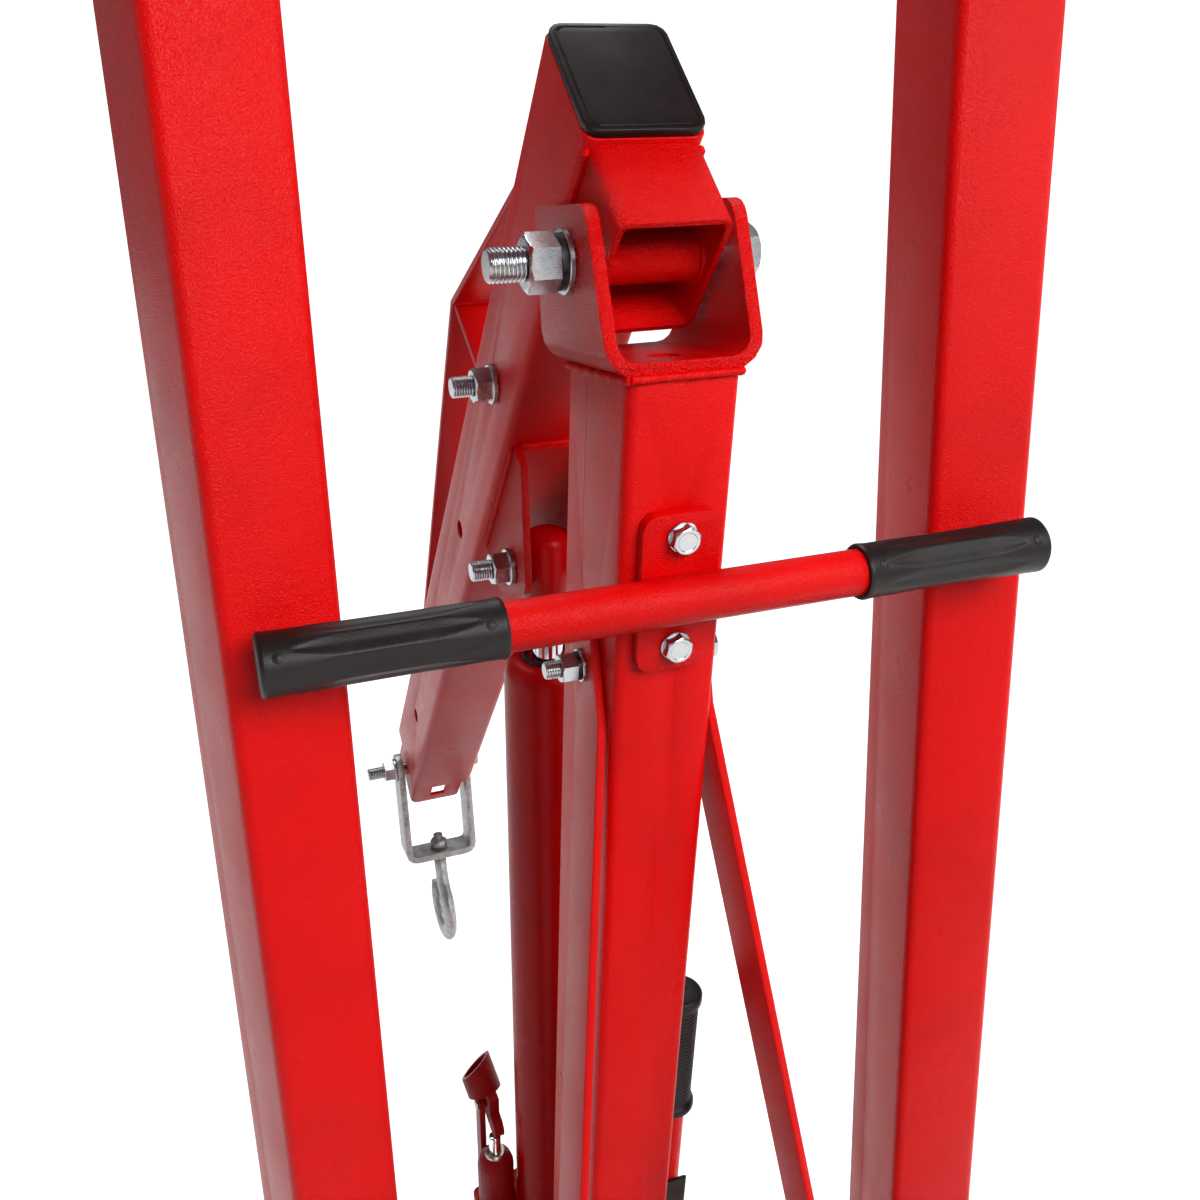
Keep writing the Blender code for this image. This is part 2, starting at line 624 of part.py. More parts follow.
def build_base_casters():
    """Four casters under the two base bars."""
    height = BAR_TOP - BAR
    for side, word in ((-1, "left"), (1, "right")):
        rear = WORLD @ Matrix.Translation((side * 0.262, REAR_BAR_Y, height))
        build_caster("rear_caster_" + word, rear, height, trail=0.022)
        front = WORLD @ Matrix.Translation((side * 0.165, FRONT_BAR_Y, height))
        build_caster("front_caster_" + word, front, height, trail=-0.022)


# ---------------------------------------------------------------- boom
def build_boom():
    """Boom tube, stub, end cap, ram bracket, truss brace and lock bolt."""
    pivot = joint("boom_pivot", Matrix.Translation(PIVOT) @ BOOM_TURN)
    tube = square_tube("boom", BOOM_WIDTH, BOOM_HEIGHT, BOOM_WALL, BOOM_LENGTH)
    tube.data.transform(Matrix.Translation((0, BOOM_LENGTH / 2, BOOM_HEIGHT / 2)) @ ALONG_Y)
    part(tube, BOOM, RED, pivot)
    for index, place in enumerate(LOCK_HOLES):
        hole = rod("lock_hole_cutter_%d" % index, 0.0083, -0.06, 0.06, 16)
        boolean(tube, tool(hole, BOOM @ along_x(place, LOCK_HOLE_HEIGHT)), "DIFFERENCE")

    cap = prism_between("boom_cap", [rounded(BOOM_WIDTH - 0.001, BOOM_HEIGHT - 0.001, 0.009)], GAP, 0.006)
    inside = 2 * BOOM_WALL + 0.001
    plug = prism_between("boom_plug", [rounded(BOOM_WIDTH - inside, BOOM_HEIGHT - inside, 0.005)], -0.02, 0.003)
    rearward = Matrix.Translation((0, 0, BOOM_HEIGHT / 2)) @ Matrix.Rotation(math.pi / 2, 4, "X")
    part(cap, BOOM @ rearward, BLACK, pivot)
    boolean(cap, tool(plug, BOOM @ rearward), "UNION")

    stub = square_tube("boom_stub", STUB_WIDTH, STUB_LENGTH, STUB_WALL, STUB_DEPTH)
    part(stub, BOOM @ Matrix.Translation((0, 0.003 + STUB_LENGTH / 2, -GAP - STUB_DEPTH / 2)), RED, pivot)
    half = STUB_WIDTH / 2 - 0.0005
    bush = rod("stub_bush", 0.015, -half, half, 20)
    boolean(stub, tool(bush, BOOM @ along_x(PIVOT_FROM_END, -PIVOT_BELOW)), "UNION")
    bore = rod("bush_bore_cutter", 0.0104, -0.1, 0.1, 16)
    boolean(stub, tool(bore, BOOM @ along_x(PIVOT_FROM_END, -PIVOT_BELOW)), "DIFFERENCE")

    build_ram_bracket(pivot)
    build_truss(pivot)
    side = BOOM_WIDTH / 2
    lock = bolt("boom_lock_bolt", 0.008, (-side, side), 0.016, 0.024, 0.010, 0.024, 0.013, washer=0.004)
    part(lock, BOOM @ along_x(LOCK_HOLES[0], LOCK_HOLE_HEIGHT), ZINC, pivot)
    return pivot


RAM_EAR = 0.030
RAM_EAR_PLATE = 0.006


def build_ram_bracket(pivot):
    """Upside-down channel under the boom that holds the ram's head, and its bolt."""
    ear = [(0.287, -GAP), (0.432, -GAP), (0.428, -0.046), (0.404, -0.063), (0.368, -0.084), (0.360, -0.083),
           (0.287, -0.020)]
    hole = circle(0.0084, 16, RAM_TOP)
    across = Matrix.Rotation(math.pi / 2, 4, "Z") @ Matrix.Rotation(math.pi / 2, 4, "X")
    web = box("ram_bracket", (-RAM_EAR + 0.002, 0.287, -0.0063), (RAM_EAR - 0.002, 0.432, -GAP))
    part(web, BOOM, RED, pivot)
    for side in (-1, 1):
        cheek = prism("ram_bracket_ear", [ear, hole], RAM_EAR_PLATE)
        offset = side * (RAM_EAR - RAM_EAR_PLATE / 2)
        boolean(web, tool(cheek, BOOM @ Matrix.Translation((offset, 0, 0)) @ across), "UNION")
    pin = bolt("ram_top_bolt", 0.008, (-RAM_EAR, RAM_EAR), 0.016, 0.024, 0.010, 0.024, 0.013, washer=0.004)
    part(pin, BOOM @ along_x(*RAM_TOP), ZINC, pivot)


def build_truss(pivot):
    """Flat strap that stiffens the boom's top, standing on a short post."""
    top = BOOM_HEIGHT + GAP
    half = 0.003
    path = [(0.050, top + half), (0.078, top + half), (0.364, 0.208), (0.945, top + half), (0.975, top + half)]
    strap = bent_strip("truss_brace", path, 2 * half, 0.040)
    across = Matrix.Rotation(math.pi / 2, 4, "Z") @ Matrix.Rotation(math.pi / 2, 4, "X")
    part(strap, BOOM @ across, RED, pivot)
    post = bent_strip("truss_post", [(0.350, top + 0.0005), (0.364, 0.207)], 0.006, 0.036)
    boolean(strap, tool(post, BOOM @ across), "UNION")


def build_extension(pivot):
    """Inner arm with its slotted end, the clevis and the hook."""
    place = BOOM @ Vector((0, CLEVIS_BOLT_S, BOOM_HEIGHT / 2))
    hang = Matrix.Translation(place)
    slide = joint("extension_slide", BOOM @ Matrix.Translation((0, CLEVIS_BOLT_S, BOOM_HEIGHT / 2)))
    slide.parent = pivot
    slide.matrix_parent_inverse = pivot.matrix_basis.inverted()
    arm = square_tube("extension_arm", ARM_WIDTH, ARM_HEIGHT, ARM_WALL, ARM_END - ARM_START)
    middle = (ARM_START + ARM_END) / 2
    arm.data.transform(Matrix.Translation((0, middle, BOOM_HEIGHT / 2)) @ ALONG_Y)
    part(arm, BOOM, RED, slide)
    hole = rod("clevis_bolt_cutter", 0.0084, -0.06, 0.06, 16)
    boolean(arm, tool(hole, BOOM @ along_x(CLEVIS_BOLT_S, BOOM_HEIGHT / 2)), "DIFFERENCE")
    slot = box("arm_slot_cutter", (-0.009, ARM_END - 0.070, -0.01), (0.009, ARM_END - 0.018, 0.02))
    boolean(arm, tool(slot, BOOM), "DIFFERENCE")

    reach = CLEVIS_INNER + CLEVIS_STRAP
    pin = bolt("clevis_bolt", 0.008, (-reach, reach), 0.020, 0.024, 0.010, 0.024, 0.013)
    part(pin, hang @ ALONG_X, ZINC, slide)

    bend = 0.014
    low = -CLEVIS_DROP
    outline = [(reach, 0.020), (CLEVIS_INNER, 0.020)]
    centre = CLEVIS_INNER + CLEVIS_STRAP - bend
    outline += arc((centre, low + bend), bend - CLEVIS_STRAP, 0, -90, 3)
    outline += arc((-centre, low + bend), bend - CLEVIS_STRAP, -90, -180, 3)
    outline += [(-CLEVIS_INNER, 0.020), (-reach, 0.020)]
    outline += arc((-centre, low + bend), bend, 180, 270, 3)
    outline += arc((centre, low + bend), bend, 270, 360, 3)
    clevis = prism("clevis", [outline], CLEVIS_WIDTH)
    clevis.data.transform(Matrix.Rotation(math.pi / 2, 4, "X"))
    part(clevis, hang, ZINC)
    hole = rod("clevis_hole_cutter", 0.0084, -0.08, 0.08, 16)
    boolean(clevis, tool(hole, hang @ ALONG_X), "DIFFERENCE")
    hole = rod("hook_hole_cutter", 0.0066, low - 0.02, low + 0.03, 12)
    boolean(clevis, tool(hole, hang), "DIFFERENCE")
    corner = rounded(CLEVIS_WIDTH, 0.060, 0.0175, (0, -0.010), 4)
    inside = [(x, y) for x, y in corner if y > -0.001]
    shape = [(-CLEVIS_WIDTH / 2 - 0.0001, -0.012), (-0.04, -0.012), (-0.04, 0.04), (0.04, 0.04), (0.04, -0.012),
             (CLEVIS_WIDTH / 2 + 0.0001, -0.012)] + inside
    trim = prism("clevis_round_cutter", [shape], 0.14)
    across = Matrix.Rotation(math.pi / 2, 4, "Z") @ Matrix.Rotation(math.pi / 2, 4, "X")
    boolean(clevis, tool(trim, hang @ across), "DIFFERENCE")

    shank = circle(0.006, 12)
    collar = circle(0.011, 12)
    top = low + CLEVIS_STRAP + GAP
    sections = [(low - 0.014, shank), (low - 0.006, shank), (low - 0.004, collar), (low - GAP, collar),
                (low - GAP, shank), (top, shank), (top, hexagon(0.019)), (top + 0.011, hexagon(0.019)),
                (top + 0.011, shank), (top + 0.019, shank)]
    hook = lofted("hook", sections)
    part(hook, hang, ZINC)
    boolean(hook, tool(forged_hook("hook_body"), hang @ Matrix.Translation((0, 0, low))), "UNION")


def forged_hook(name):
    """The hook below its neck: oval sections along a spine that drops, swings back and round the bowl."""
    spine = [(0.0, -0.0095, 0.0095), (-0.0015, -0.024, 0.0095), (-0.0060, -0.038, 0.0100)]
    for step in range(15):
        turn = math.radians(118 + 18 * step)
        swell = math.sin(math.pi * min(1.0, step / 14)) ** 0.7
        spine.append((0.003 + HOOK_BOWL * math.cos(turn), -HOOK_DROP + HOOK_BOWL * math.sin(turn),
                      0.0125 * swell + 0.0105 * (1 - swell) - 0.004 * (step / 14) ** 3))
    spine.append((0.0420, -0.0620, 0.0045))
    solid = bmesh.new()
    rings = []
    for index, (y, z, depth) in enumerate(spine):
        before = Vector(spine[max(index - 1, 0)][:2])
        after = Vector(spine[min(index + 1, len(spine) - 1)][:2])
        along = (after - before).normalized()
        thick = 0.008 if index < len(spine) - 1 else 0.0055
        ring = []
        for step in range(12):
            angle = 2 * math.pi * step / 12
            across = depth * math.cos(angle)
            ring.append(solid.verts.new((thick * math.sin(angle), y - across * along.y, z + across * along.x)))
        rings.append(ring)
    for lower, upper in zip(rings, rings[1:]):
        for step in range(12):
            following = (step + 1) % 12
            solid.faces.new((lower[step], lower[following], upper[following], upper[step]))
    solid.faces.new(rings[0])
    solid.faces.new(rings[-1])
    bmesh.ops.recalc_face_normals(solid, faces=solid.faces)
    mesh = bpy.data.meshes.new(name)
    solid.to_mesh(mesh)
    solid.free()
    return bpy.data.objects.new(name, mesh)


# ---------------------------------------------------------------- ram and pump
def build_ram():
    """Base bracket on the mast, jack body, rod and head."""
    half = 0.029
    wall = 0.006
    outline = [(half, 0.0003), (half, 0.112), (half - wall, 0.112), (half - wall, wall), (-half + wall, wall),
               (-half + wall, 0.112), (-half, 0.112), (-half, 0.0003)]
    bracket = prism("ram_base_bracket", [outline], 0.075)
    part(bracket, MAST @ Matrix.Translation((0, MAST_DEPTH, RAM_BASE[1])), RED)
    hole = rod("base_pin_cutter", 0.0084, -0.06, 0.06, 16)
    boolean(bracket, tool(hole, MAST @ along_x(*RAM_BASE)), "DIFFERENCE")
    pin = bolt("ram_base_bolt", 0.008, (-half, half), 0.006, 0.024, 0.010, 0.024, 0.013)
    part(pin, MAST @ along_x(*RAM_BASE), ZINC)

    # jack body: foot with the pivot eye, block and long reservoir with a round shoulder
    bore = ROD_RADIUS + 0.0005
    top = RAM_SPAN - 0.086
    tilt = joint("ram_tilt", RAM)
    chamber = RESERVOIR_RADIUS - RESERVOIR_WALL
    profile = [(0, 0.110), (chamber, 0.110), (chamber, top - 0.030), (bore, top - 0.030), (bore, top)]
    profile += [(0.022, top)] + shoulder(top)
    profile += [(RESERVOIR_RADIUS, 0.075), (0, 0.075)]
    body = turned("jack_body", profile, 28)
    part(body, RAM, RED, tilt)
    foot = prism("jack_foot", [rounded(0.078, 0.080, 0.012)], 0.039)
    boolean(body, tool(foot, RAM @ Matrix.Translation((0, 0, 0.0625))), "UNION")
    lug = arc((0, 0), 0.018, 180, 360, 8) + [(0.018, 0.050), (-0.018, 0.050)]
    eye = prism("jack_eye", [lug, circle(0.0084)], 0.043)
    across = Matrix.Rotation(math.pi / 2, 4, "Z") @ Matrix.Rotation(math.pi / 2, 4, "X")
    boolean(body, tool(eye, RAM @ across), "UNION")
    arm = prism("pump_arm", [rounded(0.054, 0.044, 0.008)], 0.036)
    boolean(body, tool(arm, RAM @ Matrix.Translation((-0.052, 0.010, 0.064))), "UNION")

    piston = turned("ram_rod", [(0, RAM_SPAN - HEAD_BELOW - GAP), (ROD_RADIUS - 0.001, RAM_SPAN - HEAD_BELOW - GAP),
                    (ROD_RADIUS, RAM_SPAN - HEAD_BELOW - 0.0015), (ROD_RADIUS, 0.130), (0, 0.130)], 20)
    part(piston, RAM, ZINC)

    tip = RAM @ Matrix.Translation((0, 0, RAM_SPAN))
    dome = [(0, HEAD_ABOVE), (0.012, HEAD_ABOVE - 0.0005), (0.0180, HEAD_ABOVE - 0.004),
            (HEAD_RADIUS, HEAD_ABOVE - 0.009), (HEAD_RADIUS, -HEAD_BELOW), (0, -HEAD_BELOW)]
    head = turned("ram_head", dome, 24)
    part(head, tip, RED)
    hole = rod("head_hole_cutter", 0.0084, -0.06, 0.06, 16)
    boolean(head, tool(hole, tip @ ALONG_X), "DIFFERENCE")


def shoulder(top):
    """Round shoulder of the reservoir, from its neck down to its side."""
    radius = 0.015
    return arc((RESERVOIR_RADIUS - radius, top - radius), radius, 90, 0, 4)


PUMP_PLACE = (-0.0578, 0.010)
PUMP_TOP = 0.150
LEVER_HEIGHT = 0.190
LEVER_OFFSET = 0.030
SOCKET_AXIS = Vector((-0.20, 0.44, 0.87)).normalized()
MOUTH_NORMAL = Vector((-0.58, 0.535, 0.615)).normalized()


def build_pump():
    """Pump cylinder with its link, plunger, handle socket and release valve."""
    place = RAM @ Matrix.Translation((PUMP_PLACE[0], PUMP_PLACE[1], 0))
    bore = 0.0062 + GAP
    profile = [(0, 0.100), (bore, 0.100), (bore, PUMP_TOP), (0.011, PUMP_TOP), (0.016, PUMP_TOP - 0.004),
               (0.0185, PUMP_TOP - 0.012), (0.0185, 0.0824), (0, 0.0824)]
    pump = turned("pump_cylinder", profile, 20)
    part(pump, place, CAST)
    link = box("pump_link", (-0.009, LEVER_OFFSET - 0.008, 0.085), (-0.003, LEVER_OFFSET + 0.008, LEVER_HEIGHT + 0.009))
    boolean(pump, tool(link, place), "UNION")
    foot = box("pump_link_foot", (-0.009, 0.008, 0.085), (0.009, LEVER_OFFSET + 0.008, 0.105))
    boolean(pump, tool(foot, place), "UNION")
    hinge = rod("lever_pin", 0.004, -0.010, 0.0125, 12)
    boolean(pump, tool(hinge, place @ along_x(LEVER_OFFSET, LEVER_HEIGHT)), "UNION")

    plunger = turned("pump_plunger", [(0, 0.1750), (0.0050, 0.1750), (0.0062, 0.1735), (0.0062, 0.108), (0, 0.108)], 16)
    part(plunger, place, ZINC)

    # the socket's arm turns on the link's pin and reaches over the plunger
    pivot = place @ Matrix.Translation((0, LEVER_OFFSET, LEVER_HEIGHT))
    outline = arc((0, 0), 0.010, -75, 105, 6) + arc((-LEVER_OFFSET, -0.0045), 0.009, 105, 285, 6)
    arm = prism("pump_socket", [outline, circle(0.0043, 12)], 0.010)
    across = Matrix.Rotation(math.pi / 2, 4, "Z") @ Matrix.Rotation(math.pi / 2, 4, "X")
    part(arm, pivot @ Matrix.Translation((0.0030, 0, 0)) @ across, CAST)
    neck = box("socket_neck", (-0.002, -0.022, 0.0055), (0.008, 0.0075, 0.024))
    boolean(arm, tool(neck, pivot), "UNION")
    lean = SOCKET_AXIS.to_track_quat("Z", "Y").to_matrix().to_4x4()
    seat = pivot @ Matrix.Translation(Vector((0.003, -0.006, 0.0)) + SOCKET_AXIS * 0.0175) @ lean
    tube = prism_between("socket_tube", [circle(0.0175, 24)], 0.0, 0.045)
    boolean(arm, tool(tube, seat), "UNION")
    mouth = prism_between("socket_mouth_cutter", [circle(0.0140, 24)], 0.006, 0.09)
    boolean(arm, tool(mouth, seat), "DIFFERENCE")
    # the mouth is cut slanting, facing out to the left
    facing = MOUTH_NORMAL.to_track_quat("Z", "Y").to_matrix().to_4x4()
    rim = pivot @ Matrix.Translation(Vector((0.003, -0.006, 0.0)) + SOCKET_AXIS * 0.0455) @ facing
    slant = box("socket_slant_cutter", (-0.06, -0.06, 0.0), (0.06, 0.06, 0.06))
    boolean(arm, tool(slant, rim), "DIFFERENCE")

    valve = turned("release_valve", [(0, 0.030), (0.010, 0.030), (0.011, 0.028), (0.011, 0.014), (0.005, 0.013),
                                     (0.005, GAP), (0, GAP)], 16)
    forward = RAM @ Matrix.Translation((0, 0.040, 0.063)) @ ALONG_Y
    part(valve, forward, CAST)


STORE_X = 0.0575
STORE_Y = 0.055
LEVER_TUBE = 0.0125
LEVER_LOW = -0.985
LEVER_GRIP = (-0.548, -0.415)


def build_pump_handle():
    """Loose pump handle in its clip on the mast's right side."""
    place = MAST @ Matrix.Translation((STORE_X, STORE_Y, 0))
    wall = 0.0018
    tube = prism_between("pump_handle", [circle(LEVER_TUBE, 20), circle(LEVER_TUBE - wall, 16)], LEVER_LOW,
                         LEVER_GRIP[1] - 0.006)
    part(tube, place, RED)
    low, high = LEVER_GRIP
    bore = LEVER_TUBE + GAP
    profile = [(0, high), (0.0165, high), (0.0185, high - 0.003), (0.0185, high - 0.010), (0.0160, high - 0.014),
               (0.0155, low + 0.016), (0.0180, low + 0.011), (0.0195, low + 0.007), (0.0190, low), (bore, low),
               (bore, high - 0.006 + GAP), (0, high - 0.006 + GAP)]
    grip = turned("pump_handle_grip", profile, 20)
    part(grip, place, BLACK)
    face = MAST_WIDTH / 2 + GAP
    inner = LEVER_TUBE + 0.0006
    outer = inner + 0.004
    mouth = STORE_X + 0.013
    outline = [(face, STORE_Y - outer), (mouth, STORE_Y - outer), (mouth + 0.002, STORE_Y - inner - 0.001)]
    outline += [(mouth, STORE_Y - inner)] + arc((STORE_X, STORE_Y), inner, 270, 90, 10)
    outline += [(mouth, STORE_Y + inner), (mouth + 0.002, STORE_Y + inner + 0.001), (mouth, STORE_Y + outer)]
    outline += [(face, STORE_Y + outer)]
    clip = prism("handle_clip", [outline], 0.040)
    part(clip, MAST @ Matrix.Translation((0, 0, -0.655)), BLACK)


def main():
    """Build every sub-part."""
    start_scene()
    build_mast()
    build_push_handle()
    build_top_bracket()
    build_pivot_bolt()
    build_braces()
    build_base()
    for side, word in ((-1, "left"), (1, "right")):
        build_leg_side(side, word)
    build_base_casters()
    pivot = build_boom()
    build_extension(pivot)
    build_ram()
    build_pump()
    build_pump_handle()
    bpy.context.view_layer.update()


main()
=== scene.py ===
"""Looks of the folding engine hoist crane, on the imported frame.

Metres, in the part's own frame: +Z up, +Y the way the boom leans, +X to the right.
"""
import json
import math

import bmesh
import bpy
from mathutils import Matrix, Vector, noise


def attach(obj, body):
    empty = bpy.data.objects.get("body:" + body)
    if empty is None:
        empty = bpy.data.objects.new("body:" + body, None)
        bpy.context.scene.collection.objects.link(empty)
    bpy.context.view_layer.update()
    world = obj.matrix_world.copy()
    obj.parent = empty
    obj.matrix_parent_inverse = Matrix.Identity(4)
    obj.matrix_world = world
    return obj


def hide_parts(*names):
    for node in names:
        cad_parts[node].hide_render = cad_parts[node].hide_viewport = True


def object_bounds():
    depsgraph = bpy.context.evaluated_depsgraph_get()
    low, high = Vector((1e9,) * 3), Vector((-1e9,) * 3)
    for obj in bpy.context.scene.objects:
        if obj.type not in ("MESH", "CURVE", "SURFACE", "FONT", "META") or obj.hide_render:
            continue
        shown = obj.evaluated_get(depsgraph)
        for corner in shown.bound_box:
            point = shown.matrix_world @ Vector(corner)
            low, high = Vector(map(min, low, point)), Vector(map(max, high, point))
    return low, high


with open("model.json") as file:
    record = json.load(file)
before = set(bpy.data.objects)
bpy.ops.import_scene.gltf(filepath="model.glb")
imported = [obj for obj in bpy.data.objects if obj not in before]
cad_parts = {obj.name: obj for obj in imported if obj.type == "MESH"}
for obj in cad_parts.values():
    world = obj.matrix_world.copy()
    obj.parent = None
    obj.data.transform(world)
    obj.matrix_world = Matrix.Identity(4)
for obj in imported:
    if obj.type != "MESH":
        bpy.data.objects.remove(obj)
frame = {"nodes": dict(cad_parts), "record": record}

cad_low, cad_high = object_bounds()
nodes = frame["nodes"]

# ------------------------------------------------------------------ frames and sizes
GAP = 0.0003                      # left between pieces that touch
Y_SHIFT = -0.36196                # puts the middle of the whole object at y = 0
LEAN = math.radians(12)           # the mast leans back by this
HANDLE_HEIGHT = 1.21              # the mast's rear face at the push handle
PIVOT_Y = 0.029
PIVOT_Z = 1.400
BOOM_DROP = math.radians(45.34)   # boom from straight down, at rest
RAM_BASE = (0.190, -0.905)        # ram's base pivot in the mast's frame
RAM_TOP = (0.379, -0.052)         # ram's top pivot in the boom's frame
LOCK_BOLT = (0.267, 0.043)        # lock bolt in the boom's frame
CLEVIS_BOLT = (1.057, 0.045)      # clevis bolt in the boom's frame
LEG_PIVOT = (0.2483, 0.100, 0.145)
LEG_SPLAY = math.radians(10.9)
LEG_UP = math.radians(92.2)       # from level to folded up
LEG_HALF = 0.035
LEG_CASTER = 1.495                # leg caster, along the leg from its pivot
SIDE_CLEARANCE = 0.0015           # leg to side plate
PLATE = 0.006
BRACE_THICK = 0.006
BRACE_FOOT = (0.1545, -0.0608, 0.206)
AXLE_HEIGHT = 0.040               # the wheels' axles above the floor, with the legs down
PUMP = (-0.0578, 0.010, 0)        # pump's axis in the ram's frame

MAST = Matrix.Translation((0, Y_SHIFT, HANDLE_HEIGHT)) @ Matrix.Rotation(LEAN, 4, "X")
PIVOT = Vector((0, Y_SHIFT + PIVOT_Y, PIVOT_Z))
BOOM = (Matrix.Translation(PIVOT) @ Matrix.Rotation(BOOM_DROP - math.pi / 2, 4, "X")
        @ Matrix.Translation((0, -0.052, 0.039)))
RAM_LOW = MAST @ Vector((0, *RAM_BASE))
RAM_HIGH = BOOM @ Vector((0, *RAM_TOP))
SPAN = (RAM_HIGH - RAM_LOW).length
RAM = (Matrix.Translation(RAM_LOW)
       @ Matrix.Rotation(math.atan2(RAM_LOW.y - RAM_HIGH.y, RAM_HIGH.z - RAM_LOW.z), 4, "X"))
ALONG_X = Matrix.Rotation(math.pi / 2, 4, "Y")
HANG = Matrix.Translation(BOOM @ Vector((0, *CLEVIS_BOLT)))


def along_x(y, z):
    """A frame whose Z runs along +X through (y, z)."""
    return Matrix.Translation((0, y, z)) @ ALONG_X


def leg_frame(side):
    """A leg's pivot with the leg level: Y along the leg."""
    x, y, z = LEG_PIVOT
    return Matrix.Translation((side * x, Y_SHIFT + y, z)) @ Matrix.Rotation(-side * LEG_SPLAY, 4, "Z")


def folded_leg(side):
    """A leg's pivot with the leg folded up: Y along the leg."""
    return leg_frame(side) @ Matrix.Rotation(LEG_UP, 4, "X")


SIDES = ((-1, "left"), (1, "right"))
# each pair of base casters: half their distance, their place, and how far the wheel trails
CASTERS = (("rear", 0.262, -0.065, 0.022), ("front", 0.165, 0.270, -0.022))


# ------------------------------------------------------------------ camera
def place_camera():
    """The view from behind and to the left, a little above the handle, fitted to the picture's edges."""
    spot = (-0.2881, -0.6026, 0.3474)    # in the mast's frame
    yaw, pitch, roll = 0.3799, 0.4977, -0.0357
    data = bpy.data.cameras.new("camera")
    data.lens = 37.05
    data.sensor_width = 36
    camera = bpy.data.objects.new("camera", data)
    bpy.context.scene.collection.objects.link(camera)
    ahead = Vector((math.sin(yaw) * math.cos(pitch), math.cos(yaw) * math.cos(pitch), -math.sin(pitch)))
    right = Vector((math.cos(yaw), -math.sin(yaw), 0))
    down = ahead.cross(right)
    across = right * math.cos(roll) + down * math.sin(roll)
    below = down * math.cos(roll) - right * math.sin(roll)
    axes = Matrix((across, -below, -ahead)).transposed().to_4x4()
    camera.matrix_world = MAST @ Matrix.Translation(spot) @ axes
    bpy.context.scene.camera = camera


# ------------------------------------------------------------------ materials
class Shader:
    """A Principled material and short ways to wire it."""

    def __init__(self, name, colour, roughness, metallic=0.0, coat=0.0, coat_roughness=0.05, specular=0.5):
        self.material = bpy.data.materials.new(name)
        self.material.use_nodes = True
        self.tree = self.material.node_tree
        self.shader = self.tree.nodes["Principled BSDF"]
        self.set("Base Color", (*colour, 1))
        self.set("Roughness", roughness)
        self.set("Metallic", metallic)
        self.set("Coat Weight", coat)
        self.set("Coat Roughness", coat_roughness)
        self.set("Specular IOR Level", specular)
        self.place = self.node("ShaderNodeTexCoord").outputs["Object"]

    def set(self, socket, value):
        """Put a constant on one of the shader's sockets."""
        self.shader.inputs[socket].default_value = value

    def node(self, kind, **settings):
        """A node with its settings."""
        made = self.tree.nodes.new(kind)
        for key, value in settings.items():
            setattr(made, key, value)
        return made

    def link(self, output, target):
        """Join an output to an input."""
        self.tree.links.new(output, target)

    def noise(self, scale, detail=2.0, roughness=0.5):
        """A noise texture's value."""
        made = self.node("ShaderNodeTexNoise")
        made.inputs["Scale"].default_value = scale
        made.inputs["Detail"].default_value = detail
        made.inputs["Roughness"].default_value = roughness
        self.link(self.place, made.inputs["Vector"])
        return made.outputs["Fac"]

    def ramp(self, value, stops):
        """A colour ramp from (position, colour) stops."""
        made = self.node("ShaderNodeValToRGB")
        ramp = made.color_ramp
        while len(ramp.elements) < len(stops):
            ramp.elements.new(0.5)
        for element, (position, colour) in zip(ramp.elements, stops):
            element.position = position
            element.color = (*colour, 1)
        self.link(value, made.inputs["Fac"])
        return made.outputs["Color"]

    def spread(self, value, low, high, start=0.0, end=1.0):
        """Map a value's range onto another."""
        made = self.node("ShaderNodeMapRange")
        made.inputs["From Min"].default_value = start
        made.inputs["From Max"].default_value = end
        made.inputs["To Min"].default_value = low
        made.inputs["To Max"].default_value = high
        self.link(value, made.inputs["Value"])
        return made.outputs["Result"]

    def sum(self, first, second, factor):
        """Add two values, the second scaled."""
        scaled = self.node("ShaderNodeMath", operation="MULTIPLY")
        self.link(second, scaled.inputs[0])
        scaled.inputs[1].default_value = factor
        made = self.node("ShaderNodeMath", operation="ADD")
        self.link(first, made.inputs[0])
        self.link(scaled.outputs[0], made.inputs[1])
        return made.outputs[0]

    def bump(self, height, distance, after=None):
        """Bump from a height, on top of an earlier bump."""
        made = self.node("ShaderNodeBump")
        made.inputs["Strength"].default_value = 1.0
        made.inputs["Distance"].default_value = distance
        self.link(height, made.inputs["Height"])
        if after:
            self.link(after, made.inputs["Normal"])
        return made.outputs["Normal"]

    def finish(self, normal=None, colour=None, roughness=None):
        """Wire up what varies over the surface."""
        if normal:
            self.link(normal, self.shader.inputs["Normal"])
            self.link(normal, self.shader.inputs["Coat Normal"])
        if colour:
            self.link(colour, self.shader.inputs["Base Color"])
        if roughness:
            self.link(roughness, self.shader.inputs["Roughness"])
        return self.material


